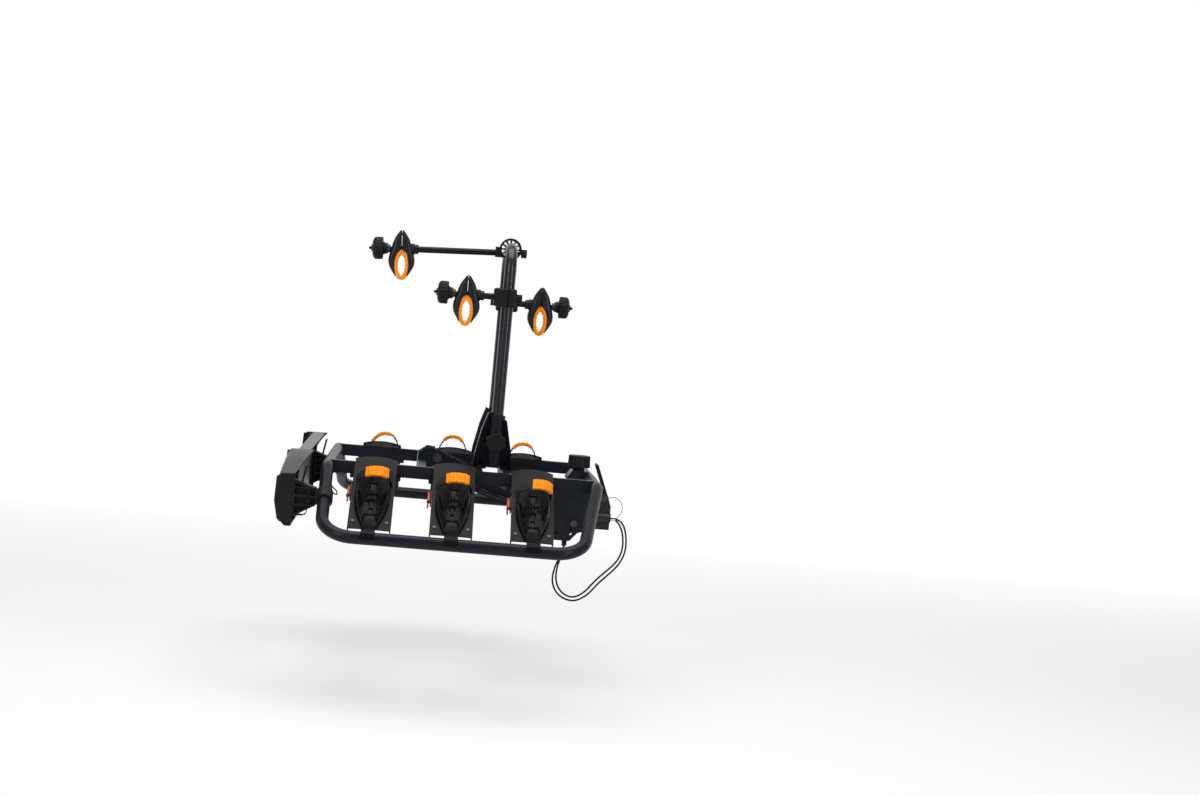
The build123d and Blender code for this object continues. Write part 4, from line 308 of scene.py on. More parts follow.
def finishes():
    """All materials of the rack, from the settings: roughness, grain scale and depth, wear, dust with painted top
    light, scratches.
    """
    f = bpy.context.scene.rack_finishes
    peel, wear, dust_and_top_light = f.grain_depth, f.wear, f.dust_and_top_light
    return {
        "frame": finish_material(
            "Frame powder coat", f.frame_paint, 0.36, 1100.0, peel * 0.6, wear * 0.5, dust_and_top_light * 0.15, 0.15,
            coat=0.08, coat_rough=0.25, specular=0.12,
        ),
        "mast": finish_material(
            "Mast powder coat", f.frame_paint, 0.3, 60.0, 0.0, 0.0, 0.0, 0.0,
            mottle=0.03, coat=0.45, coat_rough=0.2, specular=0.2,
        ),
        "tray": finish_material(
            "Tray powder coat", f.tray_paint, 0.46, 900.0, peel, wear * 0.6, dust_and_top_light * 0.2, 0.3, specular=0.1,
        ),
        "casting": finish_material(
            "Casting coat", f.casting_paint, 0.45, 420.0, peel * 2.5, wear * 1.3, dust_and_top_light * 0.3, 0.2,
        ),
        "knob": finish_material(
            "Knob plastic", f.knob_plastic, 0.45, 1300.0, peel * 1.2, wear * 0.4, dust_and_top_light * 0.1, 0.2, specular=0.12,
        ),
        "claw": finish_material("Claw plastic", f.claw_plastic, 0.33, 1500.0, peel, wear * 0.6, 0.0, 0.3),
        "cradle": finish_material(
            "Cradle plastic", f.cradle_plastic, 0.22, 300.0, peel * 0.4, 0.0, 0.0, 0.2,
            coat=0.02, coat_rough=0.1, specular=0.04,
        ),
        # A large dust amount lightens the shell's upward faces: painted top light as well as dust
        "shell": finish_material(
            "Lamp board shell", f.lamp_shell, 0.36, 1400.0, peel, wear * 0.5, dust_and_top_light * 0.8, 0.3, specular=0.5,
        ),
        "strap": finish_material("Strap rubber", f.strap_rubber, 0.5, 1200.0, peel, wear * 0.4, 0.0, 0.1),
        "pad": finish_material(
            "Pad rubber", f.pad_rubber, 0.5, 900.0, peel * 1.5, 0.0, 0.0, 0.0, mottle=0.06, specular=0.15,
        ),
        "lever": finish_material("Buckle lever", f.lever_plastic, 0.36, 1000.0, peel, 0.0, 0.0, 0.0, mottle=0.06),
        "cable": finish_material("Cable jacket", f.cable_jacket, 0.6, 1600.0, peel * 0.6, 0.0, 0.0, 0.0, specular=0.1),
        "bolt": finish_material("Black zinc", f.black_zinc, 0.36, 2000.0, peel * 0.5, 0.0, 0.0, 0.4, metal=0.7),
        "steel": finish_material("Bright steel", f.steel, 0.18, 2000.0, peel * 0.3, 0.0, 0.0, 0.3, metal=1.0),
        "lens": finish_material(
            "Lens red", f.lens_red, 0.12, 200.0, peel, 0.0, dust_and_top_light * 0.5, 0.0,
            coat=0.5, coat_rough=0.05, ribs=(60.0, "Y", 0.0006),
        ),
    }


# Mesh helpers


def keep(name, bm, material, body, bevel=0.0):
    """Turns a bmesh into a piece that rides on a body."""
    bmesh.ops.recalc_face_normals(bm, faces=bm.faces)
    mesh = bpy.data.meshes.new(name)
    bm.to_mesh(mesh)
    bm.free()
    piece = bpy.data.objects.new(name, mesh)
    bpy.context.scene.collection.objects.link(piece)
    mesh.materials.append(material)
    if bevel:
        edge = piece.modifiers.new("Rounded edges", "BEVEL")
        edge.width = bevel
        edge.segments = 2
        edge.limit_method = "ANGLE"
    for face in mesh.polygons:
        face.use_smooth = True
    mesh.set_sharp_from_angle(angle=radians(35))
    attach(piece, body)
    return piece


def axes(direction, hint=(0, 0, 1)):
    """A rotation whose Z looks along the direction."""
    z = Vector(direction).normalized()
    x = Vector(hint).cross(z)
    if x.length < 0.001:
        x = Vector((0, 1, 0)).cross(z)
    x.normalize()
    return Matrix((x, z.cross(x), z)).transposed()


def add_loft(bm, sections, endless=False):
    """Joins closed cross-sections into one skin, with flat ends unless it runs back into its start."""
    rings = [[bm.verts.new(point) for point in section] for section in sections]
    for low, high in zip(rings, rings[1:] + rings[:1] if endless else rings[1:]):
        for i in range(len(low)):
            j = (i + 1) % len(low)
            bm.faces.new((low[i], low[j], high[j], high[i]))
    if not endless:
        bm.faces.new(reversed(rings[0]))
        bm.faces.new(rings[-1])


def scaled(profile):
    """A profile in millimetres turned into metres."""
    return [(radius * 0.001, height * 0.001) for radius, height in profile]


def add_turned(bm, origin, direction, profile, sides, grooves=None, hollow=False):
    """Spins a profile of (radius, height) pairs round an axis; grooves gives (count, depth, least radius)."""
    turn = axes(direction)
    origin = Vector(origin)
    sections = []
    for radius, height in profile:
        ring = []
        for i in range(sides):
            angle = 2 * pi * i / sides
            reach = radius
            if grooves and radius > grooves[2]:
                reach -= grooves[1] * (0.5 + 0.5 * cos(angle * grooves[0])) ** 3
            ring.append(origin + turn @ Vector((reach * cos(angle), reach * sin(angle), height)))
        sections.append(ring)
    add_loft(bm, sections, hollow)


def add_rod(bm, points, radius, sides=10):
    """A round rod through points."""
    points = [Vector(p) for p in points]
    sections = []
    for i, point in enumerate(points):
        along = points[min(i + 1, len(points) - 1)] - points[max(i - 1, 0)]
        turn = axes(along, (0.3, 0.2, 0.9))
        ring = (2 * pi * k / sides for k in range(sides))
        sections.append([point + turn @ Vector((radius * cos(a), radius * sin(a), 0)) for a in ring])
    add_loft(bm, sections)


def smooth_line(points, parts):
    """More points on a smooth line through the given ones."""
    ends = [points[0], *points, points[-1]]
    line = []
    for a, b, c, d in zip(ends, ends[1:], ends[2:], ends[3:]):
        for i in range(parts):
            t = i / parts
            line.append(tuple(
                0.5 * (2 * q + (r - p) * t + (2 * p - 5 * q + 4 * r - o) * t * t + (3 * q - p - 3 * r + o) * t ** 3)
                for p, q, r, o in zip(a, b, c, d)
            ))
    return line + [points[-1]]


def bow(x, y, radius, start, end, parts):
    """Points on an arc about (x, y); its angles count from the y axis."""
    angles = (start + (end - start) * k / parts for k in range(parts + 1))
    return [(x + radius * sin(a), y + radius * cos(a)) for a in angles]


def add_block(bm, center, size, turn):
    """A box of the given size, turned in place."""
    half = Vector(size) / 2
    corners = [
        bm.verts.new(center + turn @ Vector((x * half.x, y * half.y, z * half.z)))
        for x in (-1, 1) for y in (-1, 1) for z in (-1, 1)
    ]
    for a, b, c, d in ((0, 1, 3, 2), (4, 6, 7, 5), (0, 4, 5, 1), (2, 3, 7, 6), (0, 2, 6, 4), (1, 5, 7, 3)):
        bm.faces.new((corners[a], corners[b], corners[c], corners[d]))


# Pieces


class RACK_OT_frame_finish(bpy.types.Operator):
    """Coats the welded frame, the mast and the trays"""

    bl_idname = "rack.frame_finish"
    bl_label = "Coat the frame"

    def execute(self, context):
        m = finishes()
        coat_nodes(m["frame"], ("platform_loop", "platform_rails", "mast_brackets", "hitch_beam", "coupling_bracket"))
        coat_nodes(m["mast"], ("mast_tube",))
        coat_nodes(m["tray"], ("trays",))
        coat_nodes(m["knob"], ("tray_clamps",))
        coat_nodes(m["frame"], [f"arm_{place}" for place in CLAWS])
        return {"FINISHED"}


class RACK_OT_coupling_finish(bpy.types.Operator):
    """Coats the coupling and plates its fittings"""

    bl_idname = "rack.coupling_finish"
    bl_label = "Coat the coupling"

    def execute(self, context):
        m = finishes()
        coat_nodes(m["casting"], ("coupling_body", "ball_jaw"))
        coat_nodes(m["knob"], ("clamp_lever", "plug_holder", "connector_plug", "lock_knob"))
        coat_nodes(m["bolt"], ("hitch_fasteners",))
        coat_nodes(m["steel"], ("lock_barrel",))
        return {"FINISHED"}


# Frame claws: where each sits on its arm, in metres, and the way outwards along the arm
CLAW_SEATS = {
    "top": ((-0.5586, 0.0, 0.65507), (-0.99854, 0.0, -0.05408)),
    "near": ((-0.385, -0.12, 0.555), (-1.0, 0.0, 0.0)),
    "far": ((-0.186, 0.12, 0.543), (1.0, 0.0, 0.0)),
}
# One half of a shell and of a liner, as (out, up) points in millimetres from the tip to the foot
CLAW_OUTER = (
    (0.8, 48.1), (5.4, 45.4), (11.1, 37.5), (17.9, 26.9), (22.2, 16.2), (25.9, 3.2), (29.6, -9.7), (32.6, -22.7),
    (33.3, -33.5), (30.9, -44.3), (25.9, -54.0), (20.3, -62.6), (15.3, -70.2),
)
CLAW_INNER = (
    (0.8, 45.9), (0.8, 41.0), (0.8, 32.4), (0.8, 21.6), (0.8, 11.9), (0.8, 2.7), (5.6, -3.8), (11.7, -11.9),
    (15.6, -22.7), (17.7, -35.6), (17.9, -47.2), (16.4, -57.8), (14.0, -68.6),
)
LINER_OUTER = (
    (0.4, -0.9), (5.4, -5.0), (11.1, -12.5), (15.1, -23.0), (17.3, -35.6), (17.5, -47.2), (16.0, -58.1), (13.6, -68.0),
    (9.2, -75.6), (0.4, -79.4),
)
LINER_INNER = (
    (0.4, -13.5), (3.0, -16.7), (6.0, -21.1), (9.1, -27.0), (10.6, -36.7), (10.6, -46.4), (9.3, -54.0), (6.7, -61.0),
    (3.9, -65.9), (0.4, -69.1),
)
# Turned pieces, as (radius, distance along the axis) in millimetres
CLAW_HANDLE = (
    (13.2, 0.0), (14.0, 4.0), (15.4, 8.5), (17.5, 10.4), (25.4, 10.7), (27.8, 12.0), (28.6, 14.5), (28.6, 28.0),
    (27.6, 31.5), (24.5, 34.6), (18.0, 37.2), (9.4, 38.0), (9.2, 39.8), (8.4, 40.6), (3.9, 40.8), (3.7, 45.8),
    (3.1, 46.6), (0.01, 46.7),
)
CLAW_NECK = (
    (5.4, 28.5), (9.0, 28.5), (10.2, 29.1), (10.2, 31.0), (9.2, 31.4), (9.2, 32.2), (10.4, 32.5), (10.4, 34.0),
    (12.9, 34.3), (12.9, 36.1), (5.4, 36.1),
)
CLAW_COLLAR = ((8.4, 22.0), (12.6, 22.0), (14.4, 24.0), (14.4, 31.0), (13.2, 33.0), (8.4, 33.0))
CLAW_PIN = ((0.01, 0.0), (2.6, 0.1), (3.4, 0.8), (3.4, 34.0), (2.6, 34.7), (0.01, 34.8))
CLAW_PIN_HEIGHT = 38
CLAW_PIN_START = -17.4
CLAW_WALL = 3.0
SLOT_HALF = 9.0
TOOTH_HEIGHT = 1.7
TOOTH_PITCH = 9
TEETH_SPAN = (8, 84)
HANDLE_START = 36.35
HANDLE_GROOVES = (20, 0.0011, 0.021)
# Each half: its name, its side of the claw, the body it rides, and the stretch that the arm's slot takes
CLAW_HALVES = (("fixed", -1, "claw", -9.5, 9.5), ("moving", 1, "claw_jaw", -24.0, 11.0))


def claw_point(place, out, up, across):
    """A point of one claw, in millimetres, as a point of the rack."""
    seat, way = CLAW_SEATS[place]
    way = Vector(way)
    side = Vector((0, 1, 0)) if way.x < 0 else Vector((0, -1, 0))
    return Vector(seat) + (way * out + side.cross(way) * up + side * across) / 1000


def claw_axis(place, out):
    """A point on the arm's axis, and the way outwards."""
    return claw_point(place, out, 0, 0), Vector(CLAW_SEATS[place][1])


def add_claw_half(bm, place, half, slot_low, slot_high):
    """One hollow half of a claw; half is 1 outside the arm's end and -1 on the arm's side."""
    stations = []
    for (x, y), (u, v) in zip(smooth_line(CLAW_OUTER, 5), smooth_line(CLAW_INNER, 5)):
        wide = max(((x - u) ** 2 + (y - v) ** 2) ** 0.5, 1.5)
        ex, ey = (x - u) / wide, (y - v) / wide
        deep = 22.0 - 7.0 * ((y + 15) / 64) ** 2
        corner = min(0.8 * wide, 12.0, deep - SLOT_HALF - 1.5)
        skin = [(0.0, deep - 0.8), (min(0.8, 0.3 * wide), deep)]
        skin += bow(wide - corner, deep - corner, corner, 0.0, pi / 2, 6)
        within = max(wide - CLAW_WALL, 0.4 * wide)
        lining = [
            (0.0, deep - CLAW_WALL), (max(within - 3.0, 0.3 * wide), deep - CLAW_WALL),
            (within, max(deep - CLAW_WALL - 3.0, 1.0)),
        ]
        whole = skin + [(s, -z) for s, z in reversed(skin)] + [(s, -z) for s, z in lining] + list(reversed(lining))
        cheek = skin + [(wide, SLOT_HALF), (within, SLOT_HALF), (0.0, SLOT_HALF)]

        def laid(loop, flip=1):
            return [claw_point(place, half * (u + ex * s), v + ey * s, flip * z) for s, z in loop]

        stations.append((slot_low < y < slot_high, laid(whole), laid(cheek), laid(cheek, -1)))
    # The shell is whole above and below the slot, and two cheeks beside it
    slotted = [i for i, station in enumerate(stations) if station[0]]
    first, last = slotted[0], slotted[-1]
    beside = stations[first - 1:last + 2]
    for column, stretch in ((1, stations[:first]), (2, beside), (3, beside), (1, stations[last + 1:])):
        add_loft(bm, [station[column] for station in stretch])


def add_liner_half(bm, place, half):
    """One half of the toothed liner."""
    sections = []
    for i, ((x, y), (u, v)) in enumerate(zip(smooth_line(LINER_OUTER, 10), smooth_line(LINER_INNER, 10))):
        if TEETH_SPAN[0] < i < TEETH_SPAN[1]:
            u = max(0.4, u - TOOTH_HEIGHT * abs(2 * (i % TOOTH_PITCH) / TOOTH_PITCH - 1))
        deep = 21.0 - 5.0 * ((y + 32) / 49) ** 2
        edge = (
            (x, y, deep - 1.5), ((3 * x + u) / 4, (3 * y + v) / 4, deep),
            ((x + 3 * u) / 4, (y + 3 * v) / 4, deep), (u, v, deep - 2),
        )
        sections.append(
            [claw_point(place, half * px, py, -pz) for px, py, pz in edge]
            + [claw_point(place, half * px, py, pz) for px, py, pz in reversed(edge)]
        )
    add_loft(bm, sections)


class RACK_OT_claws(bpy.types.Operator):
    """Builds the frame claws with their liners, collars and hand knobs, and finishes the arms' clamps"""

    bl_idname = "rack.claws"
    bl_label = "Build the claws"

    def execute(self, context):
        m = finishes()
        for place in CLAWS:
            for name, half, body, low, high in CLAW_HALVES:
                bm = bmesh.new()
                add_claw_half(bm, place, half, low, high)
                shell = keep(f"claw_shell_{name}_{place}", bm, m["claw"], f"{body}_{place}")
                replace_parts(shell, f"claw_jaw_{name}_{place}")
                bm = bmesh.new()
                add_liner_half(bm, place, half)
                teeth = keep(f"claw_teeth_{name}_{place}", bm, m["pad"], f"{body}_{place}")
                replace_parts(teeth, f"claw_liner_{name}_{place}")

            bm = bmesh.new()
            pin_start = claw_point(place, 0, CLAW_PIN_HEIGHT, CLAW_PIN_START)
            pin_way = claw_point(place, 0, CLAW_PIN_HEIGHT, 1) - claw_point(place, 0, CLAW_PIN_HEIGHT, 0)
            add_turned(bm, pin_start, pin_way, scaled(CLAW_PIN), 24)
            keep(f"claw_pin_{place}", bm, m["bolt"], f"claw_{place}")

            origin, way = claw_axis(place, 0)
            bm = bmesh.new()
            add_turned(bm, origin, -way, scaled(CLAW_COLLAR), 40, None, True)
            keep(f"claw_collar_{place}", bm, m["knob"], f"claw_{place}")
            bm = bmesh.new()
            add_turned(bm, origin, way, scaled(CLAW_NECK), 40, None, True)
            neck = keep(f"claw_neck_{place}", bm, m["bolt"], f"claw_washer_{place}")
            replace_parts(neck, f"claw_washer_{place}")

            origin, way = claw_axis(place, HANDLE_START)
            bm = bmesh.new()
            add_turned(bm, origin, way, scaled(CLAW_HANDLE), 160, HANDLE_GROOVES)
            handle = keep(f"claw_handle_{place}", bm, m["knob"], f"claw_knob_{place}")
            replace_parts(handle, f"claw_knob_{place}")
            coat_nodes(m["knob"], (f"arm_clamp_{place}", f"arm_knob_{place}"))
        coat_nodes(m["knob"], ("mast_knob_near", "mast_knob_far"))
        return {"FINISHED"}


# Wheel trays, in millimetres; shares are counted along a tray's arc from its top
TRAY_XS = (-570.0, -380.0, -190.0)
TRAY_TOP = Vector((0.0, 249.0, 135.0))
TRAY_LOW = Vector((0.0, 481.0, -8.0))
TRAY_BELLY = 12.0
STRAP_SHARE = 0.3963
STRAP_HALF = 41.0
BUCKLE_SHARE = 0.5137
BUCKLE_OFFSET = 50.8
LOW_BOLT_SHARE = 0.9193
LOW_BOLT_OFFSET = 39.5
LOW_BOLT = ((0.01, 0), (2.0, 0.05), (2.0, 1.2), (5.2, 1.25), (5.2, 2.0), (4.0, 3.6), (0.01, 4.2))
# Each side's straps: the ways they rise and lie across, their shift across, half widths of pad and band,
# the pad's scallop, and each wheel's crown height, skew and slip of the pad
STRAP_SETS = (
    (1, (0, 0, 1), (0, 1, 0), 0.0, 12.0, 10.0, 0.0, ((70.0, 7.0, -10), (77.0, 0.0, 0), (73.0, 3.0, -2))),
    (-1, (0, -0.87, 0.493), (0, 0.493, 0.87), -1.0, 11.5, 9.5, 0.9, ((72.0, 8.0, 0), (72.0, 8.0, 0), (72.0, 10.0, 9))),
)
PAD_REACH = 18
RIB = 0.9


def tray_place(share, side=1):
    """A point on a tray's surface, its way down and its way off; side is 1 for the far trays."""
    chord = TRAY_LOW - TRAY_TOP
    off = Vector((0.0, -chord.z, chord.y)).normalized()
    radius = (chord.length ** 2 / 4 + TRAY_BELLY ** 2) / (2 * TRAY_BELLY)
    center = (TRAY_TOP + TRAY_LOW) / 2 + off * (TRAY_BELLY - radius)
    spot = (TRAY_TOP - center).slerp(TRAY_LOW - center, share)
    up = spot.normalized()
    ways = (center + up * radius, Vector((0.0, up.z, -up.y)), up)
    return tuple(Vector((0.0, side * v.y, v.z)) for v in ways)


def arch_line(height, skew, count=96):
    """A flat-topped arch as (x, rise) pairs."""
    line = []
    for i in range(count + 1):
        c, s = cos(pi * i / count), sin(pi * i / count)
        rise = height * max(s, 0.0) ** 0.86
        line.append((-STRAP_HALF * copysign(abs(c) ** 0.86, c) + skew * rise / height, rise))
    return line


def add_band(bm, place, line, low, high, inner, outer, scallop=0.0):
    """A ribbed band along an arch: place turns (x, rise, across) into a point; low and high are its edges across."""
    sections = []
    for i, (x, rise) in enumerate(line):
        ahead, behind = line[min(i + 1, len(line) - 1)], line[max(i - 1, 0)]
        dx, dr = ahead[0] - behind[0], ahead[1] - behind[1]
        size = (dx * dx + dr * dr) ** 0.5 or 1.0
        nx, nr = -dr / size, dx / size
        on_rib = i % 6 < 3
        top = outer + (RIB if on_rib else 0.0)
        edge = low - (scallop if on_rib else 0.0)
        sections.append([
            place(x + nx * d, rise + nr * d, across)
            for d, across in ((inner, edge), (top, edge), (top, high), (inner, high))
        ])
    add_loft(bm, sections)


def add_buckle(bm, x, side):
    """The plate, lugs and pin that hold one buckle lever at a tray's edge."""
    spot, down, up = tray_place(BUCKLE_SHARE, side)
    along = Vector((1, 0, 0))
    turn = Matrix((along, up, along.cross(up))).transposed()

    def at(px, py, pz=0.0):
        return (along * (x - BUCKLE_OFFSET + px) + spot + up * py + down * pz) / 1000

    add_block(bm, at(-1.5, -9.8), (0.003, 0.020, 0.040), turn)
    for end in (-1, 1):
        add_block(bm, at(-6.2, -6.2, end * 17.6), (0.0095, 0.0064, 0.0046), turn)
    add_rod(bm, (at(-6.5, -6.2, -20.4), at(-6.5, -6.2, 20.4)), 0.00145, 12)


class RACK_OT_straps(bpy.types.Operator):
    """Builds the wheel straps with their buckles and ribbed pads, and finishes the levers"""

    bl_idname = "rack.straps"
    bl_label = "Build the wheel straps"

    def execute(self, context):
        m = finishes()
        webbing = bmesh.new()
        pads = bmesh.new()
        for side, rise_way, across_way, shift, edge, width, scallop, wheels in STRAP_SETS:
            rise_way, across_way = Vector(rise_way), Vector(across_way)
            foot = tray_place(STRAP_SHARE, side)[0]
            for x, (height, skew, slip) in zip(TRAY_XS, wheels):

                def place(along, rise, across):
                    return (foot + Vector((x + along, 0, 0)) + rise_way * (rise - 1.0) + across_way * across) / 1000

                line = arch_line(height, skew)
                add_band(webbing, place, line, shift - width, shift + width, -1.6, 1.2)
                middle = len(line) // 2 + slip
                covered = line[middle - PAD_REACH:middle + PAD_REACH + 1]
                add_band(pads, place, covered, shift - edge, shift + edge, -4.6, 3.6, scallop)
                add_buckle(webbing, x, side)
        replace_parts(keep("strap_webbing", webbing, m["strap"], "platform", 0.0004), "wheel_straps")
        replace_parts(keep("strap_sleeves", pads, m["pad"], "platform", 0.0006), "strap_pads")
        coat_nodes(m["lever"], [f"buckle_lever_{side}_{i}" for side in SIDES for i in (1, 2, 3)])
        return {"FINISHED"}


# Wheel cradles, in millimetres: half widths at shares of the tray, and the saddle's (y, z) outline on the hoop
CRADLE_START = 0.262
CRADLE_WIDTHS = (
    (0.262, 22.0), (0.28, 30.0), (0.33, 36.0), (0.42, 39.5), (0.57, 42.0), (0.70, 41.0), (0.78, 38.0), (0.87, 31.0),
    (0.93, 24.0), (0.965, 20.0), (1.0, 18.5),
)
SADDLE_HALF = 16
SADDLE = (
    (458, 14.5), (484, 5.5), (528, -0.7), *bow(550, -21, 20.3, 0.0, pi / 2, 8),
    *bow(550, -21, 15.3, pi / 2, -pi / 2, 16), (529.7, -21), (527, -5.6), (487, -5.6), (474, 2.6),
)
# Ridge, recesses and slots: the height, then from, to and softness of the stretch off the middle and of the share
CRADLE_FEATURES = (
    (2.4, (-3.2, 3.2, 1.2), (0.545, 0.66, 0.01)),
    (-4.0, (-12, 12, 0.8), (0.60, 0.655, 0.005)),
    (-5.0, (-5.5, 5.5, 0.7), (0.675, 0.73, 0.005)),
    (-4.0, (-4.5, 4.5, 0.7), (0.775, 0.815, 0.005)),
    (-3.5, (-14, 14, 0.8), (0.845, 0.88, 0.005)),
    (-3.0, (14.2, 16.6, 0.6), (0.885, 0.955, 0.006)),
)


def ease(value, low, high):
    """0 below low, 1 above high, and smooth between them."""
    t = min(1.0, max(0.0, (value - low) / (high - low)))
    return t * t * (3 - 2 * t)


def window(value, low, high, soft):
    """1 between low and high, 0 outside, with soft edges."""
    return ease(value, low - soft, low + soft) * (1 - ease(value, high - soft, high + soft))


def cradle_half_width(share):
    """Half the cradle's width at a share of the tray."""
    for (low, first), (high, last) in zip(CRADLE_WIDTHS, CRADLE_WIDTHS[1:]):
        if share <= high:
            return first + (last - first) * (share - low) / (high - low)
    return CRADLE_WIDTHS[-1][1]


def cradle_rise(x, share, half):
    """Height of the cradle off the tray: rims, tyre groove, recesses and slots."""
    x = abs(x)
    u = x / half
    body = 24.0 * (0.25 + 0.75 * ease(share, 0.25, 0.36)) * (1 - 0.62 * ease(share, 0.62, 0.95))
    rim = 1 - 0.75 * ease(u, 0.90, 1.0)
    groove = 0.34 + 0.66 * min(1.0, u / 0.84) ** 1.6
    rise = body * min(rim, groove)
    for height, across, along in CRADLE_FEATURES:
        rise += height * window(x, *across) * window(share, *along)
    throat = 11.5 - 45 * max(0.0, share - 0.45)
    rise -= 4.5 * window(x, -throat, throat, 0.8) * window(share, 0.445, 0.535, 0.006)
    slant = 34.0 - 78.0 * (share - 0.61)
    rise -= 6.0 * window(x, slant - 2.6, slant + 2.6, 0.9) * window(share, 0.61, 0.76, 0.012)
    return max(0.8, rise)


def add_cradle(bm, x_mid, side, down=110, over=56):
    """One glossy tongue along a tray, with its saddle over the hoop."""
    sections = []
    for i in range(down + 1):
        share = CRADLE_START + (1.0 - CRADLE_START) * i / down
        spot, _, up = tray_place(share, side)
        half = cradle_half_width(share)
        steps = [half * (2 * j / over - 1) for j in range(over + 1)]
        line = [(x, cradle_rise(x, share, half)) for x in steps] + [(half, 0.35), (-half, 0.35)]
        sections.append([(spot + up * rise + Vector((x_mid + x, 0, 0))) / 1000 for x, rise in line])
    add_loft(bm, sections)
    ends = (x_mid - SADDLE_HALF, x_mid + SADDLE_HALF)
    add_loft(bm, [[Vector((x, side * y, z)) / 1000 for y, z in SADDLE] for x in ends])


class RACK_OT_cradles(bpy.types.Operator):
    """Builds the wheel cradles and the screws in the trays' low corners"""

    bl_idname = "rack.cradles"
    bl_label = "Build the wheel cradles"

    def execute(self, context):
        m = finishes()
        cradles = bmesh.new()
        bolts = bmesh.new()
        for side in (-1, 1):
            spot, _, up = tray_place(LOW_BOLT_SHARE, side)
            for x in TRAY_XS:
                add_cradle(cradles, x, side)
                for dx in (-LOW_BOLT_OFFSET, LOW_BOLT_OFFSET):
                    add_turned(bolts, (spot + Vector((x + dx, 0, 0)) - up) / 1000, up, scaled(LOW_BOLT), 20)
        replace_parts(keep("cradle_tongues", cradles, m["cradle"], "platform"), "wheel_cradles")
        keep("tray_bolts", bolts, m["bolt"], "platform")
        return {"FINISHED"}


# Lamp board, in millimetres: two lamp cases with drooping ends, and a slimmer plate bar between them
CASE_START = 290.0
BOARD_END = 425.0
LENS_END = 413.0
LENS_START = 237.6
BEZEL_START = 232.0
BOARD_STATIONS = (425, 423, 418, 410, 398, 380, 360, 335, 310, 290.2, 289.8)
PLATE_BAR = ((-728, 149), (-757, 149), (-760, 139), (-761, 90), (-761, 36), (-760, -11), (-758, -20), (-752, -20))
BOARD_INSET = ((0, -3), (3, -3.5), (3.5, -1), (3, 0), (3, 0), (3, 1), (2, 3), (0, 3))
# (x, z) outlines: the end walls below their top edge, and the lenses' bezels
END_WALL = ((-785.9, 90), (-788.4, 36), (-778.4, -10), (-767.4, -20.5), (-753.4, -20.5))
END_WALL_TOP = ((-751.4, 101), (-783.4, 99))
# Each wall: from and to, and how far its top edge is raised
WALLS = ((BOARD_END - 3, BOARD_END + 0.3, 0), (CASE_START, CASE_START + 2.5, 46))
BEZEL = ((-786.0, 98), (-794.2, 92), (-796.0, 36), (-786.8, -6), (-779, -14), (-788.6, 36))
# Rods on the end faces: distance out, radius in metres, and (x, z) points
END_RODS = (
    *((424.4, 0.0011, ((-755, z), (-742, z), (-720, z))) for z in (71, 53, 28, 8)),
    (425.0, 0.0026, ((-727, 122), (-731, 100), (-735, 78), (-732, 74))),
    (424.2, 0.0013, ((-755, 5), (-728, 6), (-720, 12), (-718, 28), (-718, 55), (-713, 63))),
)
END_SCREW = ((0.01, 0), (3.4, 0.1), (3.4, 1.4), (2.6, 2.2), (0.01, 2.3))
END_SCREW_X = -716.5
END_SCREW_Y = 424.5
CLIP_LINE = (
    (-675, -249, 97), (-675, -249, 84), (-674, -249, 64), (-661, -250, 51), (-660, -250, 42), (-670, -250, 48),
    (-674, -249, 62),
)


def board_section(y):
    """The closed cross-section of the board at one place along it."""
    reach = abs(y)
    droop = max(0.0, (reach - 280) / 145)
    top = 151 - 48 * droop ** 1.4
    if reach < CASE_START:
        outer = PLATE_BAR
    else:
        front = -718 - 34 * min(1.0, droop) ** 1.1
        rear = -773 - 11 * droop
        outer = (
            (front, top), (rear, top - 1), (rear - 4, top - 5), (min(-786.8, rear - 3), min(95, top - 9)),
            (-789.8, 36), (-780, -11), (-768, -22), (-753.5, -22),
        )
    inner = [(x + dx, z + dz) for (x, z), (dx, dz) in zip(outer, BOARD_INSET)]
    return [Vector((x, y, z)) / 1000 for x, z in (*outer, *reversed(inner))]


def add_slab(bm, outline, start, end):
    """An (x, z) outline carried from one y to another."""
    add_loft(bm, [[Vector((x, y, z)) / 1000 for x, z in outline] for y in (start, end)])


class RACK_OT_lamp_board(bpy.types.Operator):
    """Builds the lamp board with its end walls, bezels and stiffeners, and finishes lenses and brackets"""

    bl_idname = "rack.lamp_board"
    bl_label = "Build the lamp board"

    def execute(self, context):
        m = finishes()
        bm = bmesh.new()
        stations = (*(-y for y in BOARD_STATIONS), 0.0, *reversed(BOARD_STATIONS))
        add_loft(bm, [board_section(y) for y in stations])
        board = keep("lamp_board_shell", bm, m["shell"], "platform", 0.0007)
        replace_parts(board, "lamp_housing")

        bm = bmesh.new()
        for side in (-1, 1):
            for start, end, rise in WALLS:
                wall = [(x, z + rise) for x, z in END_WALL_TOP] + list(END_WALL)
                add_slab(bm, wall, side * start, side * end)
            for start, end in ((LENS_END + 0.4, BOARD_END), (LENS_START, BEZEL_START)):
                add_slab(bm, BEZEL, side * start, side * end)
            for out, radius, line in END_RODS:
                add_rod(bm, [Vector((x, side * out, z)) / 1000 for x, z in line], radius)
            for z in (40.0, 62.0):
                add_turned(bm, Vector((END_SCREW_X, side * END_SCREW_Y, z)) / 1000, (0, side, 0), scaled(END_SCREW), 20)
        keep("lamp_board_trim", bm, m["knob"], "platform")
        coat_nodes(m["knob"], ("lamp_brackets",))
        coat_nodes(m["lens"], ("lamp_lenses",))

        bm = bmesh.new()
        add_rod(bm, [Vector(point) / 1000 for point in smooth_line(CLIP_LINE, 6)], 0.0016)
        keep("lamp_cable_clip", bm, m["cable"], "platform")
        return {"FINISHED"}


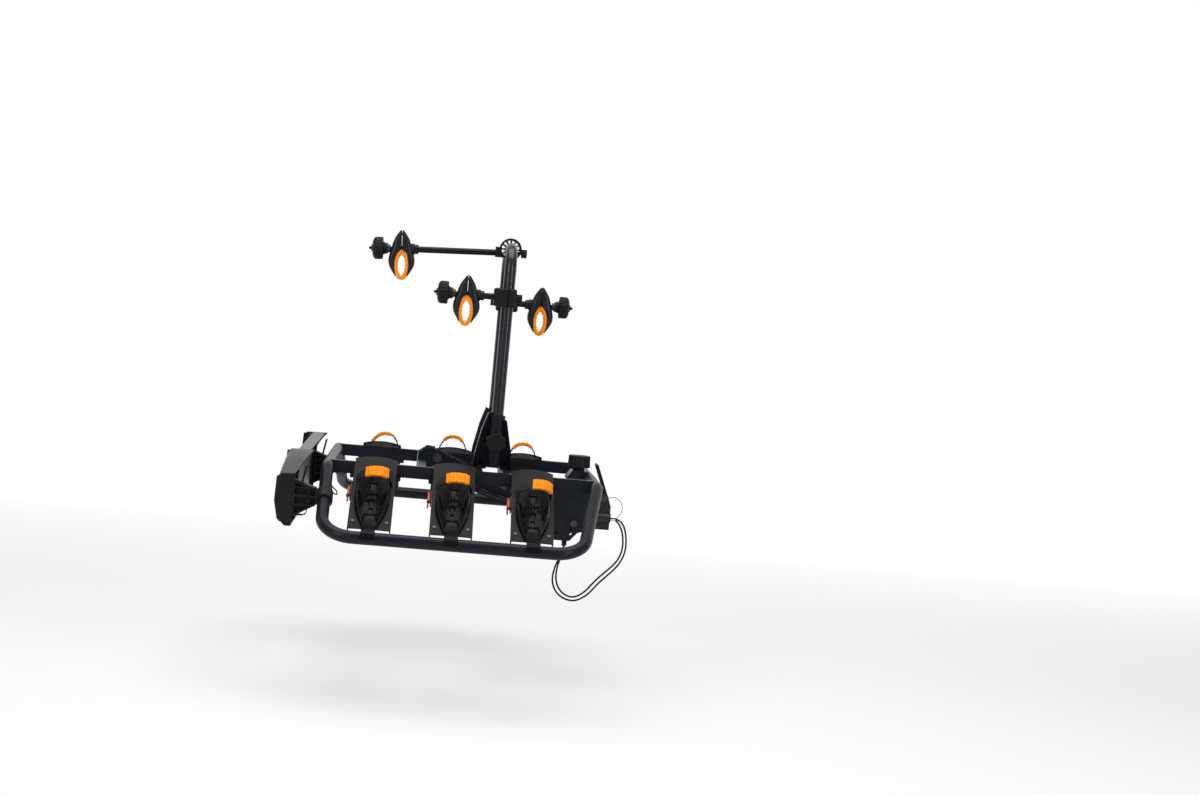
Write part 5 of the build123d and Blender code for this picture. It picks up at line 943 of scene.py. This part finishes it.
# Cords: control points in millimetres, from the outlet to the far end
CABLE_DIAMETER = 0.0046
WIRE_DIAMETER = 0.0016
INNER_CABLE = (
    (-80, -28.5, -64.2), (-80, -28.5, -85), (-92, -30, -113), (-95, -31, -155), (-77, -30, -187),
    (-44, -28, -199), (-14, -23, -180), (9, -14, -151), (36, -1, -127), (63, 16, -104),
    (79, 38, -75), (80, 57, -42), (71, 66, -12), (51, 67.5, 6), (26, 67.5, 6),
)
OUTER_CABLE = (
    (-80, -19.5, -64.2), (-80, -19.5, -86), (-98, -22, -117), (-104, -26, -163), (-82, -26, -197),
    (-42, -24, -209), (-7, -19, -189), (18, -9, -158), (45, 4, -134), (71, 22, -110),
    (88, 44, -78), (89, 65, -40), (79, 75, -7), (56, 76.5, 6), (26, 76.5, 6),
)
LANYARD = (
    (23.8, -32, 66), (33, -32, 71), (48, -33, 68), (60, -36, 54), (60, -42, 34), (48, -46.4, 17), (32, -46.4, 16),
)


def lay_cord(name, points, diameter, material, body, node):
    """A cord as one smooth curve along its control points."""
    curve = bpy.data.curves.new(name, "CURVE")
    curve.dimensions = "3D"
    curve.bevel_depth = diameter / 2
    curve.bevel_resolution = 6
    curve.use_fill_caps = True
    curve.resolution_u = 16
    spline = curve.splines.new("NURBS")
    spline.points.add(len(points) - 1)
    for point, (x, y, z) in zip(spline.points, points):
        point.co = (x / 1000, y / 1000, z / 1000, 1.0)
    spline.order_u = 3
    spline.use_endpoint_u = True
    curve.materials.append(material)
    piece = bpy.data.objects.new(name, curve)
    bpy.context.scene.collection.objects.link(piece)
    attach(piece, body)
    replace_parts(piece, node)


class RACK_OT_cords(bpy.types.Operator):
    """Lays the lighting cables and the lanyard"""

    bl_idname = "rack.cords"
    bl_label = "Lay the cables"

    def execute(self, context):
        jacket = finishes()["cable"]
        lay_cord("cable_inner", INNER_CABLE, CABLE_DIAMETER, jacket, "hitch", "lighting_cable_inner")
        lay_cord("cable_outer", OUTER_CABLE, CABLE_DIAMETER, jacket, "hitch", "lighting_cable_outer")
        lay_cord("lanyard_wire", LANYARD, WIRE_DIAMETER, jacket, "hitch", "lanyard")
        return {"FINISHED"}


# Stage


CAMERA_PLACE = (-0.4645, -5.0091, 0.5462)
CAMERA_YAW = 0.0886
CAMERA_PITCH = 0.0446
CAMERA_ROLL = 0.0915
SCENE_MIDDLE = (-0.35, 0, 0.2)
WORLD_LEVEL = 0.28
# Lamps: name, place, size and watts at the plain level
SOFTBOXES = (
    ("Top softbox", (-0.4, -0.3, 3.2), (3.4, 2.2), 100),
    ("Front softbox", (-2.6, -3.0, 1.7), (0.45, 2.4), 42),
    ("Side softbox", (1.9, -3.0, 1.4), (0.4, 2.4), 38),
)


def add_camera(scene, lens):
    """The camera where the photograph was taken from."""
    camera = bpy.data.cameras.new("Camera")
    camera.lens = lens
    camera.sensor_width = 36.0
    camera.clip_end = 60.0
    eye = bpy.data.objects.new("Camera", camera)
    scene.collection.objects.link(eye)
    base = Matrix(((1, 0, 0), (0, 0, -1), (0, 1, 0)))
    yaw = Matrix(((cos(CAMERA_YAW), 0, -sin(CAMERA_YAW)), (0, 1, 0), (sin(CAMERA_YAW), 0, cos(CAMERA_YAW))))
    pitch = Matrix(((1, 0, 0), (0, cos(CAMERA_PITCH), -sin(CAMERA_PITCH)), (0, sin(CAMERA_PITCH), cos(CAMERA_PITCH))))
    roll = Matrix(((cos(CAMERA_ROLL), -sin(CAMERA_ROLL), 0), (sin(CAMERA_ROLL), cos(CAMERA_ROLL), 0), (0, 0, 1)))
    rows = roll @ pitch @ yaw @ base
    look = Matrix((rows[0], -rows[1], -rows[2])).transposed().to_4x4()
    look.translation = CAMERA_PLACE
    eye.matrix_world = look
    scene.camera = eye


def floor_material(color):
    """A pale floor that the camera, metal and glass see whiter towards the back."""
    material = bpy.data.materials.new("Pale floor")
    material.use_nodes = True
    tree = material.node_tree
    w = Wires(tree)
    plain = tree.nodes["Principled BSDF"]
    plain.inputs["Base Color"].default_value = (*color, 1.0)
    plain.inputs["Roughness"].default_value = 0.9
    plain.inputs["Specular IOR Level"].default_value = 0.1
    glow = w.put("ShaderNodeEmission", None, Color=(1, 1, 1, 1), Strength=1.0)
    rays = w.put("ShaderNodeLightPath").outputs
    mirrored = w.math("ADD", rays["Is Glossy Ray"], rays["Is Transmission Ray"])
    seen = w.math("ADD", rays["Is Camera Ray"], mirrored, clamp=True)
    place = w.put("ShaderNodeSeparateXYZ", None, in0=w.put("ShaderNodeTexCoord").outputs["Object"])
    far = w.ramp(place.outputs[1], 0.4, 3.0)
    share = w.math("MULTIPLY", seen, w.math("ADD", w.math("MULTIPLY", far, 0.55), 0.45))
    blend = w.put("ShaderNodeMixShader", None, in0=share, in1=plain.outputs[0], in2=glow.outputs[0])
    w.link(blend.outputs[0], tree.nodes["Material Output"].inputs["Surface"])
    return material


def add_floor(scene, height, color):
    """The floor, which curves up into a back wall."""
    mesh = bpy.data.meshes.new("Floor")
    bm = bmesh.new()
    profile = [(-9.0, 0.0), *bow(3.0, 2.5, 2.5, pi, pi / 2, 24), (5.5, 9.0)]
    rows = [[bm.verts.new((x, y, height + z)) for y, z in profile] for x in (-14.0, 14.0)]
    for i in range(len(profile) - 1):
        bm.faces.new((rows[0][i], rows[1][i], rows[1][i + 1], rows[0][i + 1]))
    bm.to_mesh(mesh)
    bm.free()
    for face in mesh.polygons:
        face.use_smooth = True
    floor = bpy.data.objects.new("Floor", mesh)
    scene.collection.objects.link(floor)
    mesh.materials.append(floor_material(color))


def add_softbox(scene, name, place, size, power):
    """A large soft lamp that looks at the rack's middle."""
    lamp = bpy.data.lights.new(name, "AREA")
    lamp.shape = "RECTANGLE"
    lamp.size, lamp.size_y = size
    lamp.energy = power
    piece = bpy.data.objects.new(name, lamp)
    piece.location = place
    piece.rotation_euler = (Vector(SCENE_MIDDLE) - Vector(place)).to_track_quat("-Z", "Y").to_euler()
    scene.collection.objects.link(piece)


class RACK_OT_stage(bpy.types.Operator):
    """Sets the camera, the soft lamps and the pale floor"""

    bl_idname = "rack.stage"
    bl_label = "Set the stage"

    def execute(self, context):
        scene = context.scene
        studio = scene.rack_studio
        add_camera(scene, studio.lens)
        add_floor(scene, studio.floor_height, studio.floor)
        for name, place, size, power in SOFTBOXES:
            add_softbox(scene, name, place, size, power * studio.lamp_level)
        world = bpy.data.worlds.new("Studio")
        scene.world = world
        world.use_nodes = True
        background = world.node_tree.nodes["Background"].inputs
        background["Color"].default_value = (1, 1, 1, 1)
        background["Strength"].default_value = WORLD_LEVEL
        scene.view_settings.view_transform = "Standard"
        return {"FINISHED"}


class RACK_PT_sidebar(bpy.types.Panel):
    """Lists the rack's settings and steps"""

    bl_idname = "RACK_PT_sidebar"
    bl_label = "Bicycle rack"
    bl_space_type = "VIEW_3D"
    bl_region_type = "UI"
    bl_category = "Rack"

    def draw(self, context):
        layout = self.layout
        for operator in STEPS:
            layout.operator(operator.bl_idname)
        for group in (context.scene.rack_finishes, context.scene.rack_studio):
            for key in group.__annotations__:
                layout.prop(group, key)


STEPS = (
    RACK_OT_stage,
    RACK_OT_cords,
    RACK_OT_frame_finish,
    RACK_OT_coupling_finish,
    RACK_OT_claws,
    RACK_OT_straps,
    RACK_OT_cradles,
    RACK_OT_lamp_board,
)
CLASSES = (RackFinishes, RackStudio, *STEPS, RACK_PT_sidebar)


def register():
    for cls in CLASSES:
        bpy.utils.register_class(cls)
    bpy.types.Scene.rack_finishes = bpy.props.PointerProperty(type=RackFinishes)
    bpy.types.Scene.rack_studio = bpy.props.PointerProperty(type=RackStudio)


def unregister():
    del bpy.types.Scene.rack_studio
    del bpy.types.Scene.rack_finishes
    for cls in reversed(CLASSES):
        bpy.utils.unregister_class(cls)


def main():
    register()
    for operator in STEPS:
        group, _, action = operator.bl_idname.partition(".")
        getattr(getattr(bpy.ops, group), action)()


if __name__ == "__main__":
    main()
